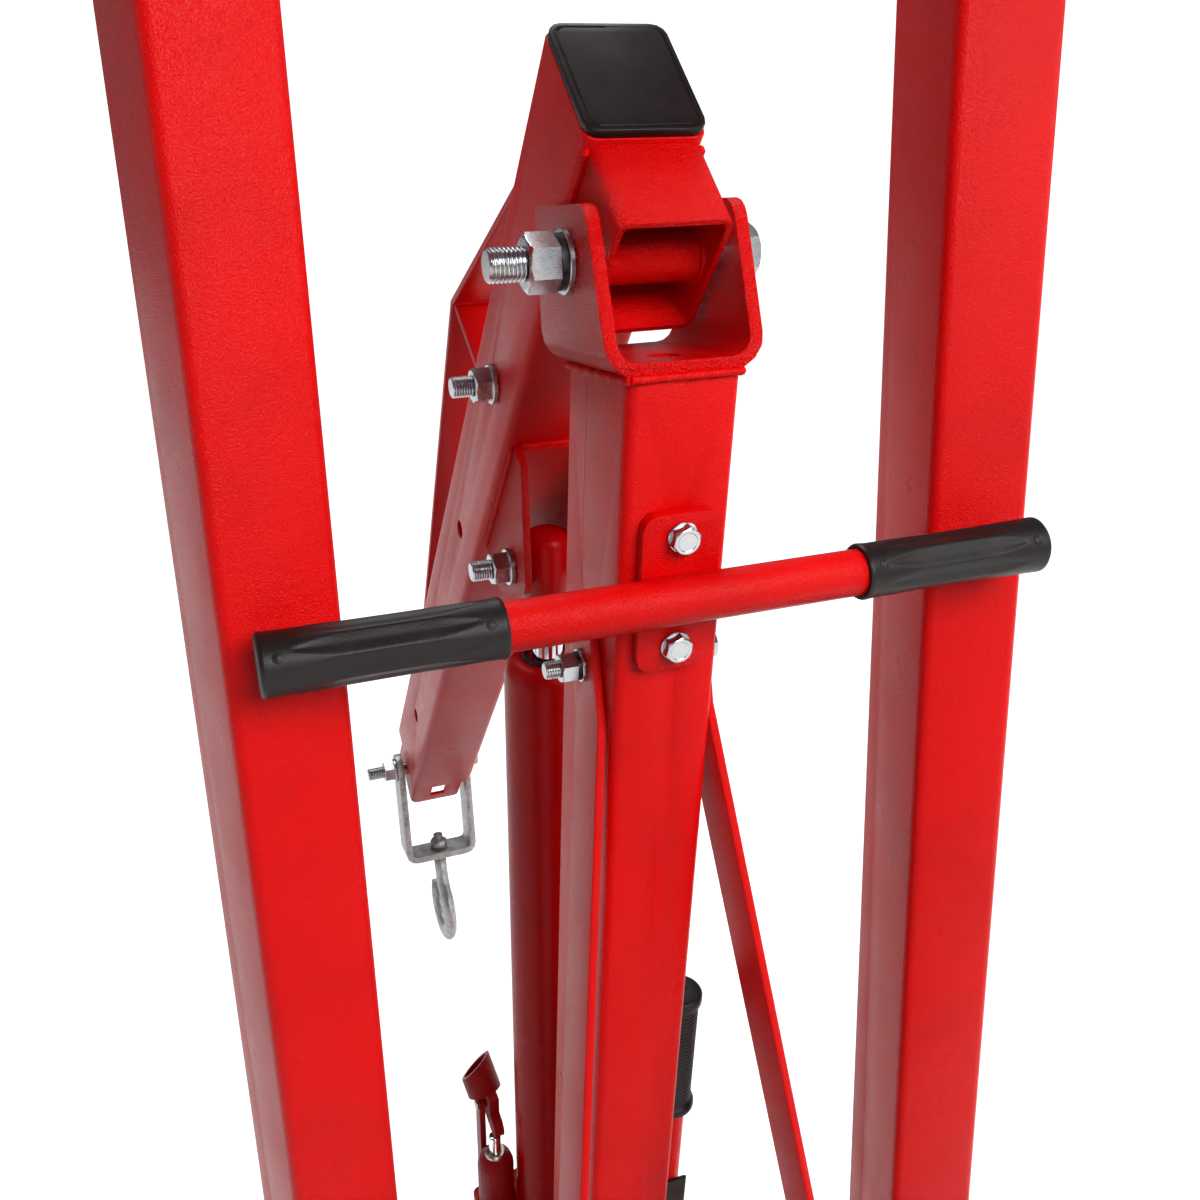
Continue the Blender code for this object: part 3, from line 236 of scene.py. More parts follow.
def powder_coat(name, tone, peel=1.0, seam=None, gloss=(0.24, 0.38)):
    """Glossy powder coat with orange peel, dust specks and cloudy tone; seam adds a tube's weld line."""
    s = Shader(name, tone, 0.3, coat=0.02, coat_roughness=0.08, specular=0.11)
    fine = s.noise(1150, 1.0, 0.5)
    broad = s.noise(620, 1.0, 0.4)
    height = s.sum(fine, broad, factor=0.6)
    normal = s.bump(height, 0.00050 * peel)
    specks = s.ramp(s.noise(1500, 1.0, 0.5), [(0.0, (0, 0, 0)), (0.64, (0, 0, 0)), (0.72, (1, 1, 1))])
    normal = s.bump(specks, 0.00018 * peel, after=normal)
    if seam:
        direction, offset, half = seam
        dot = s.node("ShaderNodeVectorMath", operation="DOT_PRODUCT")
        s.link(s.place, dot.inputs[0])
        dot.inputs[1].default_value = direction
        away = s.node("ShaderNodeMath", operation="SUBTRACT")
        s.link(dot.outputs["Value"], away.inputs[0])
        away.inputs[1].default_value = offset
        size = s.node("ShaderNodeMath", operation="ABSOLUTE")
        s.link(away.outputs[0], size.inputs[0])
        ridge = s.spread(size.outputs[0], 1.0, 0.0, 0.0, half)
        normal = s.bump(ridge, 0.0006, after=normal)
    dark = tuple(c * 0.84 for c in tone)
    light = tuple(min(c * 1.06, 1.0) for c in tone)
    colour = s.ramp(s.noise(9, 4.0, 0.6), [(0.25, dark), (0.5, tone), (0.75, light)])
    rough = s.spread(s.sum(s.noise(14, 5.0, 0.65), fine, factor=0.25), gloss[0], gloss[1], 0.35, 0.85)
    return s.finish(normal, colour, rough)


def zinc(name, tone, grain=1.0, rough=(0.20, 0.42)):
    """Bright zinc plate with a mottled passivated sheen."""
    s = Shader(name, tone, 0.3, metallic=1.0)
    mottle = s.noise(60, 5.0, 0.6)
    warm = (tone[0] * 1.06, tone[1] * 1.0, tone[2] * 0.88)
    cool = (tone[0] * 0.86, tone[1] * 0.92, tone[2] * 1.0)
    colour = s.ramp(mottle, [(0.30, cool), (0.5, tone), (0.70, warm)])
    scratch = s.noise(700, 2.0, 0.6)
    normal = s.bump(scratch, 0.00006 * grain)
    roughness = s.spread(s.sum(mottle, scratch, factor=0.3), rough[0], rough[1], 0.4, 0.9)
    return s.finish(normal, colour, roughness)


def cast_zinc(name):
    """Dull galvanised forging, as on the hook and the clevis."""
    s = Shader(name, (0.36, 0.37, 0.37), 0.45, metallic=0.85)
    cells = s.node("ShaderNodeTexVoronoi")
    cells.inputs["Scale"].default_value = 160
    s.link(s.place, cells.inputs["Vector"])
    patch = s.noise(30, 5.0, 0.65)
    colour = s.ramp(s.sum(patch, cells.outputs["Distance"], factor=0.35),
                    [(0.35, (0.20, 0.21, 0.215)), (0.6, (0.33, 0.34, 0.34)), (0.85, (0.46, 0.455, 0.43))])
    normal = s.bump(s.noise(330, 4.0, 0.6), 0.0003)
    normal = s.bump(patch, 0.0006, after=normal)
    return s.finish(normal, colour, s.spread(patch, 0.34, 0.60, 0.3, 0.7))


def moulded(name, tone, rough, grain, scale=900, specular=0.5):
    """Moulded plastic with a fine matt grain and rubbed patches."""
    s = Shader(name, tone, 0.4, specular=specular)
    fine = s.noise(scale, 2.0, 0.6)
    patch = s.noise(22, 5.0, 0.65)
    light = tuple(c * 1.6 + 0.002 for c in tone)
    colour = s.ramp(patch, [(0.35, tone), (0.75, light)])
    normal = s.bump(fine, grain)
    return s.finish(normal, colour, s.spread(s.sum(patch, fine, factor=0.25), rough[0], rough[1], 0.4, 0.85))


def black_oxide(name):
    """Oiled black spring steel."""
    s = Shader(name, (0.03, 0.03, 0.032), 0.35, metallic=0.8)
    patch = s.noise(150, 4.0, 0.6)
    colour = s.ramp(patch, [(0.3, (0.012, 0.012, 0.014)), (0.7, (0.06, 0.058, 0.055))])
    return s.finish(s.bump(s.noise(800, 2.0), 0.00008), colour, s.spread(patch, 0.25, 0.5, 0.3, 0.7))


RED_TONE = (0.72, 0.0004, 0.0006)
DARK_TONE = (0.30, 0.0010, 0.0030)
seam_direction = MAST.to_3x3() @ Vector((0, 1, 0))
seam_offset = (MAST @ Vector((0, 0.066, 0))).dot(seam_direction)

red = powder_coat("red_powder_coat", RED_TONE)
red_mast = powder_coat("red_powder_coat_mast", RED_TONE, seam=(seam_direction, seam_offset, 0.0012))
red_rim = powder_coat("red_powder_coat_plate", RED_TONE, peel=2.6, gloss=(0.14, 0.24))
red_smooth = powder_coat("red_enamel", (0.46, 0.0006, 0.0016), peel=0.35, gloss=(0.20, 0.32))
dark_red = powder_coat("dark_red_enamel", DARK_TONE, peel=1.6)
bright_zinc = zinc("zinc_plate", (0.40, 0.405, 0.415), rough=(0.16, 0.34))
yellow_zinc = zinc("zinc_plate_warm", (0.46, 0.43, 0.36))
hook_zinc = cast_zinc("galvanised_forging")
chrome = zinc("hard_chrome", (0.78, 0.78, 0.79), grain=0.2, rough=(0.06, 0.16))
black_cap = moulded("black_end_cap", (0.0075, 0.0035, 0.0035), (0.26, 0.42), 0.00008, specular=0.20)
black_grip = moulded("black_grip", (0.0075, 0.0048, 0.0045), (0.34, 0.46), 0.00014, specular=0.22)
wheel_black = moulded("wheel_polymer", (0.028, 0.028, 0.030), (0.40, 0.60), 0.0002, 600)
oxide = black_oxide("black_oxide")

node_materials = {"red_paint": red, "zinc_plate": bright_zinc, "black_plastic": black_cap,
                  "dark_red_paint": dark_red, "wheel_polymer": wheel_black}


# ------------------------------------------------------------------ carried-over nodes
def dress(name, material, bevel):
    """Give a node that stays its material, smooth faces and rounded edges."""
    obj = nodes[name]
    obj.data.materials.clear()
    obj.data.materials.append(material)
    weld = obj.modifiers.new("weld", "WELD")
    weld.merge_threshold = 0.00002
    if bevel:
        soften = obj.modifiers.new("bevel", "BEVEL")
        soften.width = bevel
        soften.segments = 2
        soften.limit_method = "ANGLE"
        soften.angle_limit = math.radians(35)
        soften.use_clamp_overlap = True
        soften.harden_normals = False
    obj.data.shade_smooth()


# ------------------------------------------------------------------ mesh building
class Shape:
    """Collects lofted surfaces, each with a material index, into one mesh."""

    def __init__(self):
        self.points = []
        self.faces = []
        self.slots = []

    def loft(self, rings, slot=0, caps=(True, True), loop=False):
        """Skin a row of rings that have the same number of points."""
        start = len(self.points)
        count = len(rings[0])
        for ring in rings:
            self.points += [Vector(p) for p in ring]
        rows = len(rings)
        for row in range(rows if loop else rows - 1):
            for step in range(count):
                following = (step + 1) % count
                above = (row + 1) % rows
                self.faces.append((start + row * count + step, start + row * count + following,
                                   start + above * count + following, start + above * count + step))
                self.slots.append(slot)
        if caps[0] and not loop:
            self.faces.append(tuple(start + step for step in range(count))[::-1])
            self.slots.append(slot)
        if caps[1] and not loop:
            self.faces.append(tuple(start + (rows - 1) * count + step for step in range(count)))
            self.slots.append(slot)

    def add(self, other, place):
        """Take in another shape's surfaces, moved to a place."""
        offset = len(self.points)
        self.points += [place @ p for p in other.points]
        self.faces += [tuple(index + offset for index in face) for face in other.faces]
        self.slots += other.slots

    def make(self, name, place, materials, body, sharp, stands_for):
        """Make the object, in its place and riding on its body."""
        mesh = bpy.data.meshes.new(name)
        mesh.from_pydata([tuple(p) for p in self.points], [], self.faces)
        for material in materials:
            mesh.materials.append(material)
        mesh.polygons.foreach_set("material_index", self.slots)
        solid = bmesh.new()
        solid.from_mesh(mesh)
        bmesh.ops.recalc_face_normals(solid, faces=solid.faces)
        solid.to_mesh(mesh)
        solid.free()
        mesh.shade_smooth()
        mesh.set_sharp_from_angle(angle=math.radians(sharp))
        obj = bpy.data.objects.new(name, mesh)
        bpy.context.scene.collection.objects.link(obj)
        obj.matrix_world = place
        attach(obj, body)
        if stands_for:
            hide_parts(*stands_for)


def ring(radius, height, steps, reach=None):
    """A ring about Z; reach may give another radius for each angle."""
    points = []
    for step in range(steps):
        angle = 2 * math.pi * step / steps
        out = reach(angle) if reach else radius
        points.append((out * math.cos(angle), out * math.sin(angle), height))
    return points


def revolve(shape, profile, slot, steps, caps=(True, True), loop=False):
    """Loft a turned profile of (radius, height) points."""
    shape.loft([ring(radius, height, steps) for radius, height in profile], slot, caps, loop)


HEX_CHAMFER = math.tan(math.radians(30))


def hexagonal(shape, low, high, flats, chamfer, dish=0.0):
    """A hex head or nut with its corners turned off at the chamfered ends."""
    edge = flats / 2 * 0.95
    depth = (flats / math.sqrt(3) - edge) * HEX_CHAMFER
    rings = []
    for height in [start + depth * part / 4 for start in (low, high - depth) for part in range(5)]:
        limit = 1.0
        if chamfer[0]:
            limit = min(limit, edge + (height - low) / HEX_CHAMFER)
        if chamfer[1]:
            limit = min(limit, edge + (high - height) / HEX_CHAMFER)

        def hexagon(angle):
            return min(flats / 2 / math.cos(angle % (math.pi / 3) - math.pi / 6), limit)

        rings.append(ring(0, height, 48, hexagon))
    if dish:
        rings.append(ring(edge * 0.80, high, 48))
        rings.append(ring(edge * 0.74, high - dish, 48))
    shape.loft(rings)


def washer(shape, low, high, inner, outer):
    """A flat washer with rounded rims."""
    soft = min((high - low) * 0.3, 0.0005)
    profile = [(inner, low), (outer - soft, low), (outer, low + soft), (outer, high - soft),
               (outer - soft, high), (inner, high)]
    revolve(shape, profile, 0, 40, loop=True)


def spring_washer(shape, low, high, inner, outer):
    """A split lock washer, in the second material."""
    rings = []
    for step in range(49):
        angle = math.radians(8 + 344 * step / 48) + 1.1
        lift = (high - low) * 0.10 * (step / 48 - 0.5)
        row = []
        for radius, height in ((inner, low + 0.0002), (outer, low + 0.0002), (outer, high - 0.0002),
                               (inner, high - 0.0002)):
            row.append((radius * math.cos(angle), radius * math.sin(angle), height + lift * 0.5))
        rings.append(row)
    shape.loft(rings, 1)


def thread(shape, low, high, radius, pitch):
    """A screw thread along Z with its lower end chamfered."""
    steps = 28
    per_turn = 8
    count = max(int((high - low) / pitch * per_turn), 4)
    depth = pitch * 0.58
    rings = []
    for row in range(count + 1):
        height = low + (high - low) * row / count
        points = []
        for step in range(steps):
            angle = 2 * math.pi * step / steps
            phase = (height / pitch - step / steps) % 1.0
            wave = min(abs(phase * 2 - 1) * 1.35, 1.0)
            reach = radius - depth * (1 - wave)
            reach = min(reach, radius - depth + (height - low) * 0.9)
            points.append((reach * math.cos(angle), reach * math.sin(angle), height))
        rings.append(points)
    shape.loft(rings)


# head across flats, head's height, nut across flats, nut's height, pitch
M16 = (0.024, 0.010, 0.024, 0.013, 0.002)


def fastener(name, body, place, radius, grip, tail, head_flats, head, nut_flats, nut, pitch, node,
             stack=0.003, stack_radius=None, spring=False, mirrored=False):
    """A bolt with thread, nut and washers, nut end at low Z, or at high Z where mirrored."""
    stack_radius = stack_radius or radius * 1.85
    bore = radius * 1.03
    low = grip[0] - GAP
    high = grip[1] + GAP
    nut_top = low - stack
    nut_bottom = nut_top - nut
    s = Shape()
    thread(s, nut_bottom - tail, nut_bottom + nut * 0.2, radius, pitch)
    revolve(s, [(radius * 0.97, nut_bottom), (radius * 0.97, high + stack)], 0, 28)
    hexagonal(s, nut_bottom, nut_top, nut_flats, (True, False))
    hexagonal(s, high + stack, high + stack + head, head_flats, (False, True), dish=head * 0.05)
    if spring:
        flat = stack * 0.45
        washer(s, low - flat, low, bore, stack_radius)
        spring_washer(s, low - stack, low - flat, bore, radius * 1.62)
        washer(s, high, high + flat, bore, stack_radius)
        spring_washer(s, high + flat, high + stack, bore, radius * 1.62)
    else:
        washer(s, low - stack, low, bore, stack_radius)
        washer(s, high, high + stack, bore, stack_radius)
    if mirrored:
        place = place @ Matrix.Rotation(math.pi, 4, "X")
    s.make(name, place, [bright_zinc, oxide], body, 28, (node,))


RIPPLE = 0.0022                   # pitch of a weld bead's ripples


def weld_bead(name, body, points, radius, closed=False, seed=0, material=red):
    """A rippled weld bead along a path."""
    path = [Vector(p) for p in points]
    if closed:
        path.append(path[0])
    dense = []
    for start, finish in zip(path, path[1:]):
        count = max(int((finish - start).length / 0.0007), 2)
        for step in range(count):
            dense.append(start.lerp(finish, step / count))
    dense.append(path[-1])
    rings = []
    travelled = 0.0
    sides = 10
    for index, here in enumerate(dense):
        before = dense[max(index - 1, 0)]
        after = dense[min(index + 1, len(dense) - 1)]
        heading = (after - before).normalized()
        side = heading.cross(Vector((0.31, 0.17, 0.93))).normalized()
        up = side.cross(heading).normalized()
        travelled += (here - before).length
        wobble = noise.noise(Vector((travelled * 90, seed * 7.3, 0.0)))
        swell = 1.0 + 0.13 * math.sin(2 * math.pi * travelled / RIPPLE) + 0.22 * wobble
        ends = min(index, len(dense) - 1 - index) / 4
        swell *= 1.0 if closed else min(1.0, 0.35 + ends)
        drift = side * wobble * radius * 0.2
        points_here = []
        for step in range(sides):
            angle = 2 * math.pi * step / sides
            out = side * math.cos(angle) + up * math.sin(angle)
            points_here.append(here + drift + out * radius * swell)
        rings.append(points_here)
    s = Shape()
    s.loft(rings)
    s.make(name, Matrix.Identity(4), [material], body, 80, ())


def across(half, y, z):
    """The ends of a run across a part."""
    return [(-half, y, z), (half, y, z)]


def lengthwise(x, start, end, z):
    """The ends of a run along a part's Y."""
    return [(x, start, z), (x, end, z)]


def moved(place, points):
    """Points of a frame, in world coordinates."""
    return [place @ Vector(p) for p in points]


# ------------------------------------------------------------------ grips
def push_grip(name, node, side):
    """Moulded bar grip with leaf-shaped flutes, flared ends and two small plugs."""
    low, high = 0.115, 0.250
    length = high - low
    rows = 90
    around = 96
    flutes = 8
    flute_depth = 0.0019

    def outline(t):
        radius = 0.01735 + 0.0006 * t
        radius += 0.0007 * math.exp(-(t / 0.035) ** 2) + 0.0004 * math.exp(-((1 - t) / 0.05) ** 2)
        if t < 0.012:
            radius -= 0.0009 * (1 - t / 0.012)
        if t > 0.985:
            radius -= 0.0016 * ((t - 0.985) / 0.015) ** 2
        return radius

    def carved(t, angle):
        start, finish = 0.10, 0.88
        if not start < t < finish:
            return 0.0
        along = (t - start) / (finish - start)
        limit = math.pi / flutes * min(1.0, 1.25 * math.sin(math.pi * along) ** 0.8)
        turned = (angle + 0.3) % (2 * math.pi / flutes) - math.pi / flutes
        if abs(turned) >= limit:
            return 0.0
        return flute_depth * math.sin(math.pi * along) ** 0.5 * (1 - abs(turned / limit) ** 1.6)

    s = Shape()
    rings = []
    for row in range(rows + 1):
        t = row / rows
        points = []
        for step in range(around):
            angle = 2 * math.pi * step / around
            radius = outline(t) - carved(t, angle)
            points.append((radius * math.cos(angle), radius * math.sin(angle), low + length * t))
        rings.append(points)
    bore = 0.01512
    s.loft([ring(bore, low, around)] + rings, 0, (False, True))
    turn = Matrix.Rotation(side * math.pi / 2, 4, "Y")
    place = MAST @ Matrix.Translation((0, -0.023, 0)) @ turn
    # small round plugs near both ends, on the side that faces back and up
    plug_turn = Matrix.Rotation(math.radians(-90 - 39 * side), 4, "Z")
    for along in (0.075, 0.925):
        radius = outline(along)
        centre = plug_turn @ Matrix.Translation((radius, 0, low + length * along))
        facing = centre @ Matrix.Rotation(math.pi / 2, 4, "Y")
        for edge, rise in ((0.0031, 0.0005), (0.0019, 0.0010)):
            rings = [ring(edge, -0.0010, 20), ring(edge, rise - 0.0001, 20), ring(edge - 0.0002, rise, 20)]
            s.loft([[facing @ Vector(p) for p in row] for row in rings], 0)
    s.make(name, place, [black_grip], "base", 50, (node,))


def pump_grip():
    """Ribbed grip of the stored pump handle, with a flange at each end."""
    low, high = -0.548, -0.415
    profile = [(0.0130, low), (0.0186, low), (0.0195, low + 0.0012), (0.0195, low + 0.0048),
               (0.0180, low + 0.0068), (0.0158, low + 0.0085)]
    height = low + 0.010
    while height < high - 0.018:
        profile += [(0.0150, height), (0.0152, height + 0.0006), (0.0164, height + 0.0013),
                    (0.0164, height + 0.0027), (0.0152, height + 0.0034)]
        height += 0.0042
    profile += [(0.0154, high - 0.014), (0.0175, high - 0.0115), (0.0186, high - 0.0095),
                (0.0186, high - 0.003), (0.0172, high - 0.0008), (0.0150, high), (0.006, high),
                (0.0058, high - 0.001)]
    s = Shape()
    revolve(s, profile, 0, 48)
    place = MAST @ Matrix.Translation((0.0575, 0.055, 0))
    s.make("pump_handle_grip_ribbed", place, [black_grip], "pump_handle", 40, ("pump_handle_grip",))


# ------------------------------------------------------------------ the pieces
def dress_nodes():
    """Materials and rounded edges for the nodes that stay as they are."""
    slot_of = {part["node"]: part["material_slot"] for part in frame["record"]["subparts"]}
    special = {"mast": red_mast, "jack_body": red_smooth, "ram_head": red_smooth, "ram_rod": chrome,
               "clevis": hook_zinc, "hook": hook_zinc, "handle_clip": black_grip, "pump_plunger": chrome,
               "mast_top_bracket": red_rim, "ram_bracket": red_rim, "boom_stub": red_rim, "push_handle": red}
    soft = {"mast": 0.0006, "boom": 0.0006, "leg_left": 0.0006, "leg_right": 0.0006, "extension_arm": 0.0005,
            "jack_body": 0.0012, "mast_top_bracket": 0.0013, "truss_brace": 0.0012, "clevis": 0.0018,
            "hook": 0, "boom_cap": 0.0014, "ram_head": 0, "ram_rod": 0, "pump_cylinder": 0.0008,
            "pump_socket": 0.0012}
    for name in sorted(nodes):
        material = special.get(name) or node_materials[slot_of[name]]
        dress(name, material, soft.get(name, 0.0009))


def build_fasteners():
    """Every bolt with its thread, nut and washers."""
    fastener("pivot_bolt_threaded", "base", along_x(PIVOT.y, PIVOT.z), 0.010, (-0.0485, 0.0485), 0.022,
             0.030, 0.0125, 0.030, 0.018, 0.0025, "pivot_bolt", 0.0075, 0.0185, spring=True)
    fastener("brace_bolt_threaded", "base", MAST @ along_x(0.044, -0.0775), 0.006, (-0.0413, 0.0413), 0.010,
             0.018, 0.0075, 0.018, 0.0105, 0.00175, "brace_bolt", 0.005, None, spring=True)
    fastener("boom_lock_bolt_threaded", "boom", BOOM @ along_x(*LOCK_BOLT), 0.008, (-0.0375, 0.0375), 0.016,
             *M16, "boom_lock_bolt", 0.004)
    fastener("ram_top_bolt_threaded", "boom", BOOM @ along_x(*RAM_TOP), 0.008, (-0.030, 0.030), 0.016,
             *M16, "ram_top_bolt", 0.004)
    fastener("ram_base_bolt_threaded", "base", MAST @ along_x(*RAM_BASE), 0.008, (-0.029, 0.029), 0.006,
             *M16, "ram_base_bolt")
    fastener("clevis_bolt_threaded", "extension", HANG @ ALONG_X, 0.008, (-0.0465, 0.0465), 0.020,
             *M16, "clevis_bolt")
    for side, word in SIDES:
        reach = LEG_HALF + SIDE_CLEARANCE + PLATE
        fastener("leg_pivot_bolt_%s_threaded" % word, "base", leg_frame(side) @ ALONG_X, 0.008,
                 (-reach, reach), 0.006, *M16, "leg_pivot_bolt_" + word, mirrored=side < 0)
        middle, ahead, height = BRACE_FOOT
        low = middle - BRACE_THICK / 2 - GAP - PLATE
        high = middle + BRACE_THICK / 2
        fastener("brace_foot_bolt_%s_threaded" % word, "base", along_x(Y_SHIFT + ahead, height), 0.006,
                 (low, high), 0.006, 0.018, 0.0075, 0.018, 0.010, 0.00175, "brace_foot_bolt_" + word,
                 mirrored=side < 0)
    for word, height in (("upper", 0.034), ("lower", -0.040)):
        place = (MAST @ Matrix.Translation((0, -GAP * 2 - 0.008, height))
                 @ Matrix.Rotation(math.pi / 2, 4, "X") @ Matrix.Rotation(0.35, 4, "Z"))
        s = Shape()
        thread(s, -0.022, -0.001, 0.005, 0.0015)
        washer(s, 0.0, 0.0018, 0.0051, 0.0098)
        hexagonal(s, 0.0018, 0.0082, 0.0165, (False, True), dish=0.0003)
        s.make("handle_bolt_%s_hex" % word, place, [bright_zinc], "base", 28, ("handle_bolt_" + word,))


def build_welds():
    """Rippled beads where plates and tubes are welded."""
    # stub tube to the boom's underside: two sides and the front
    half = 0.0352
    for side in (-1, 1):
        weld_bead("weld_stub_%d" % (side + 1), "boom",
                  moved(BOOM, lengthwise(side * half, 0.006, 0.090, -0.0006)), 0.0026, seed=side)
    weld_bead("weld_stub_front", "boom", moved(BOOM, across(0.030, 0.0938, -0.001)), 0.0028, seed=3)
    # bush inside the stub
    for side in (-1, 1):
        loop = []
        for step in range(24):
            angle = 2 * math.pi * step / 24
            loop.append((side * 0.0308, 0.052 + 0.0156 * math.cos(angle), -0.039 + 0.0156 * math.sin(angle)))
        weld_bead("weld_bush_%d" % (side + 1), "boom", moved(BOOM, loop), 0.0020, True, seed=5 + side)
    # bracket's web to the mast's top
    rim = []
    for x, y in ((-0.034, -0.0005), (0.034, -0.0005), (0.0355, 0.004), (0.0355, 0.097), (0.031, 0.1022),
                 (-0.031, 0.1022), (-0.0355, 0.097), (-0.0355, 0.004)):
        low = MAST @ Vector((x, y, 0))
        rise = (1.3368 - low.z) / math.cos(LEAN)
        rim.append(MAST @ Vector((x, y, rise)))
    weld_bead("weld_mast_top", "base", rim, 0.0026, True, seed=9)
    # ram bracket to the boom's underside
    for side in (-1, 1):
        weld_bead("weld_ram_bracket_%d" % (side + 1), "boom",
                  moved(BOOM, lengthwise(side * 0.0302, 0.292, 0.428, -0.0008)), 0.0024, seed=11 + side)
    weld_bead("weld_ram_bracket_rear", "boom", moved(BOOM, across(0.026, 0.2868, -0.002)), 0.0024, seed=15)
    # truss strap: both feet and the post
    top = 0.0905
    strap_edge = 0.0202
    for side in (-1, 1):
        weld_bead("weld_truss_rear_%d" % (side + 1), "boom",
                  moved(BOOM, lengthwise(side * strap_edge, 0.051, 0.079, top)), 0.0026, seed=17 + side)
        weld_bead("weld_truss_front_%d" % (side + 1), "boom",
                  moved(BOOM, lengthwise(side * strap_edge, 0.942, 0.974, top)), 0.0026, seed=21 + side)
    weld_bead("weld_truss_end", "boom", moved(BOOM, across(0.018, 0.9755, top)), 0.0024, seed=23)
    for fore in (-1, 1):
        weld_bead("weld_post_foot_%d" % (fore + 1), "boom",
                  moved(BOOM, across(0.017, 0.350 + fore * 0.0036, top + 0.0008)), 0.0024, seed=25 + fore)
        head = 0.2035 - abs(fore - 0.3) * 0.0010
        weld_bead("weld_post_head_%d" % (fore + 1), "boom",
                  moved(BOOM, across(0.017, 0.3632 + fore * 0.0044, head)), 0.0026, seed=29 + fore)
    # push handle's tube to its plate
    for rise in (-1, 1):
        weld_bead("weld_handle_%d" % (rise + 1), "base",
                  moved(MAST, across(0.023, -0.0103, rise * 0.0078)), 0.0027, seed=33 + rise)
    # mast's foot
    centre = Y_SHIFT + 0.270
    rim = []
    for x, y in ((-0.034, -0.0525), (0.034, -0.0525), (0.0355, -0.048), (0.0355, 0.048), (0.034, 0.0525),
                 (-0.034, 0.0525), (-0.0355, 0.048), (-0.0355, -0.048)):
        rim.append((x, centre + y, 0.1838))
    weld_bead("weld_mast_foot", "base", rim, 0.0032, True, seed=37)
    # spine to the front and rear bars, and the brace lugs to the rear bar
    for side in (-1, 1):
        edge = side * 0.030
        for word, y, seed in (("spine", 0.2395, 41), ("spine_rear", -0.0345, 45)):
            weld_bead("weld_%s_%d" % (word, side + 1), "base",
                      [(edge, Y_SHIFT + y, 0.119), (edge, Y_SHIFT + y, 0.172)], 0.0028, seed=seed + side)
        lug = side * (BRACE_FOOT[0] - 0.0066)
        for offset in (0.0, -0.0062):
            spot = lug + side * offset
            weld_bead("weld_lug_%d_%d" % (side + 1, int(offset * -1000)), "base",
                      lengthwise(spot, Y_SHIFT - 0.082, Y_SHIFT - 0.040, 0.1756), 0.0022,
                      seed=49 + side + int(offset * 1000))


def build_wheels():
    """Wheels with a crowned tread, a recessed web and a shining hub."""
    places = []
    for where, x, y, trail in CASTERS:
        for side, word in SIDES:
            name = "%s_caster_%s_wheel" % (where, word)
            spot = Matrix.Translation((side * x, Y_SHIFT + y - trail, AXLE_HEIGHT)) @ ALONG_X
            places.append((name, name, spot))
    for side, word in SIDES:
        spot = folded_leg(side) @ Matrix.Translation((0, LEG_CASTER, -0.105)) @ ALONG_X
        places.append(("leg_caster_%s_wheel" % word, "leg_wheel_" + word, spot))
    rib_section = ((-0.0012, 0.0086), (-0.0010, 0.0104), (0.0010, 0.0104), (0.0012, 0.0086))
    for node, body, place in places:
        s = Shape()
        profile = [(0.0130, 0.0142), (0.0150, 0.0128), (0.0165, 0.0095), (0.0255, 0.0090), (0.0285, 0.0105),
                   (0.0300, 0.0138), (0.0345, 0.0140), (0.0370, 0.0134), (0.0388, 0.0112), (0.0397, 0.0070),
                   (0.0400, 0.0000)]
        profile += [(radius, -height) for radius, height in profile[-2::-1]]
        revolve(s, profile, 0, 64, loop=True)
        for face in (-1, 1):
            hub = [(0.0064, face * 0.0149), (0.0108, face * 0.0149), (0.0128, face * 0.0143),
                   (0.0131, face * 0.0120), (0.0064, face * 0.0120)]
            revolve(s, hub, 1, 36, loop=True)
            for spoke in range(6):
                angle = 2 * math.pi * spoke / 6
                rib = []
                for radius in (0.0155, 0.0195, 0.0245, 0.0292):
                    row = []
                    for off, rise in rib_section:
                        row.append((radius * math.cos(angle) - off * math.sin(angle),
                                    radius * math.sin(angle) + off * math.cos(angle), face * rise))
                    rib.append(row)
                s.loft(rib, 0)
        s.make(node + "_moulded", place, [wheel_black, bright_zinc], body, 35, (node,))


def build_caster_details():
    """Ball race and axle nuts on each caster."""
    spots = []
    for where, x, y, trail in CASTERS:
        for side, word in SIDES:
            name = "%s_caster_%s" % (where, word)
            spots.append((name, name, Matrix.Translation((side * x, Y_SHIFT + y, 0.115)), trail, 0.115))
    for side, word in SIDES:
        spot = folded_leg(side) @ Matrix.Translation((0, LEG_CASTER, -0.05))
        spots.append(("leg_caster_" + word, "leg_" + word, spot, 0.0, 0.095))
    for name, body, place, trail, height in spots:
        s = Shape()
        race = [(0.0225, -0.0090), (0.0240, -0.0086), (0.0245, -0.0070), (0.0238, -0.0056),
                (0.0228, -0.0052), (0.0238, -0.0046), (0.0243, -0.0034), (0.0238, -0.0020), (0.0225, -0.0016)]
        revolve(s, race, 0, 48, loop=True)
        axle = Matrix.Translation((0, -trail, AXLE_HEIGHT - height)) @ ALONG_X
        for face in (-1, 1):
            low, high = sorted((face * 0.0197, face * 0.0228))
            nut = Shape()
            hexagonal(nut, low, high, 0.0125, (face < 0, face > 0))
            s.add(nut, axle)
        s.make(name + "_race_and_nuts", place, [bright_zinc], body, 30, ())


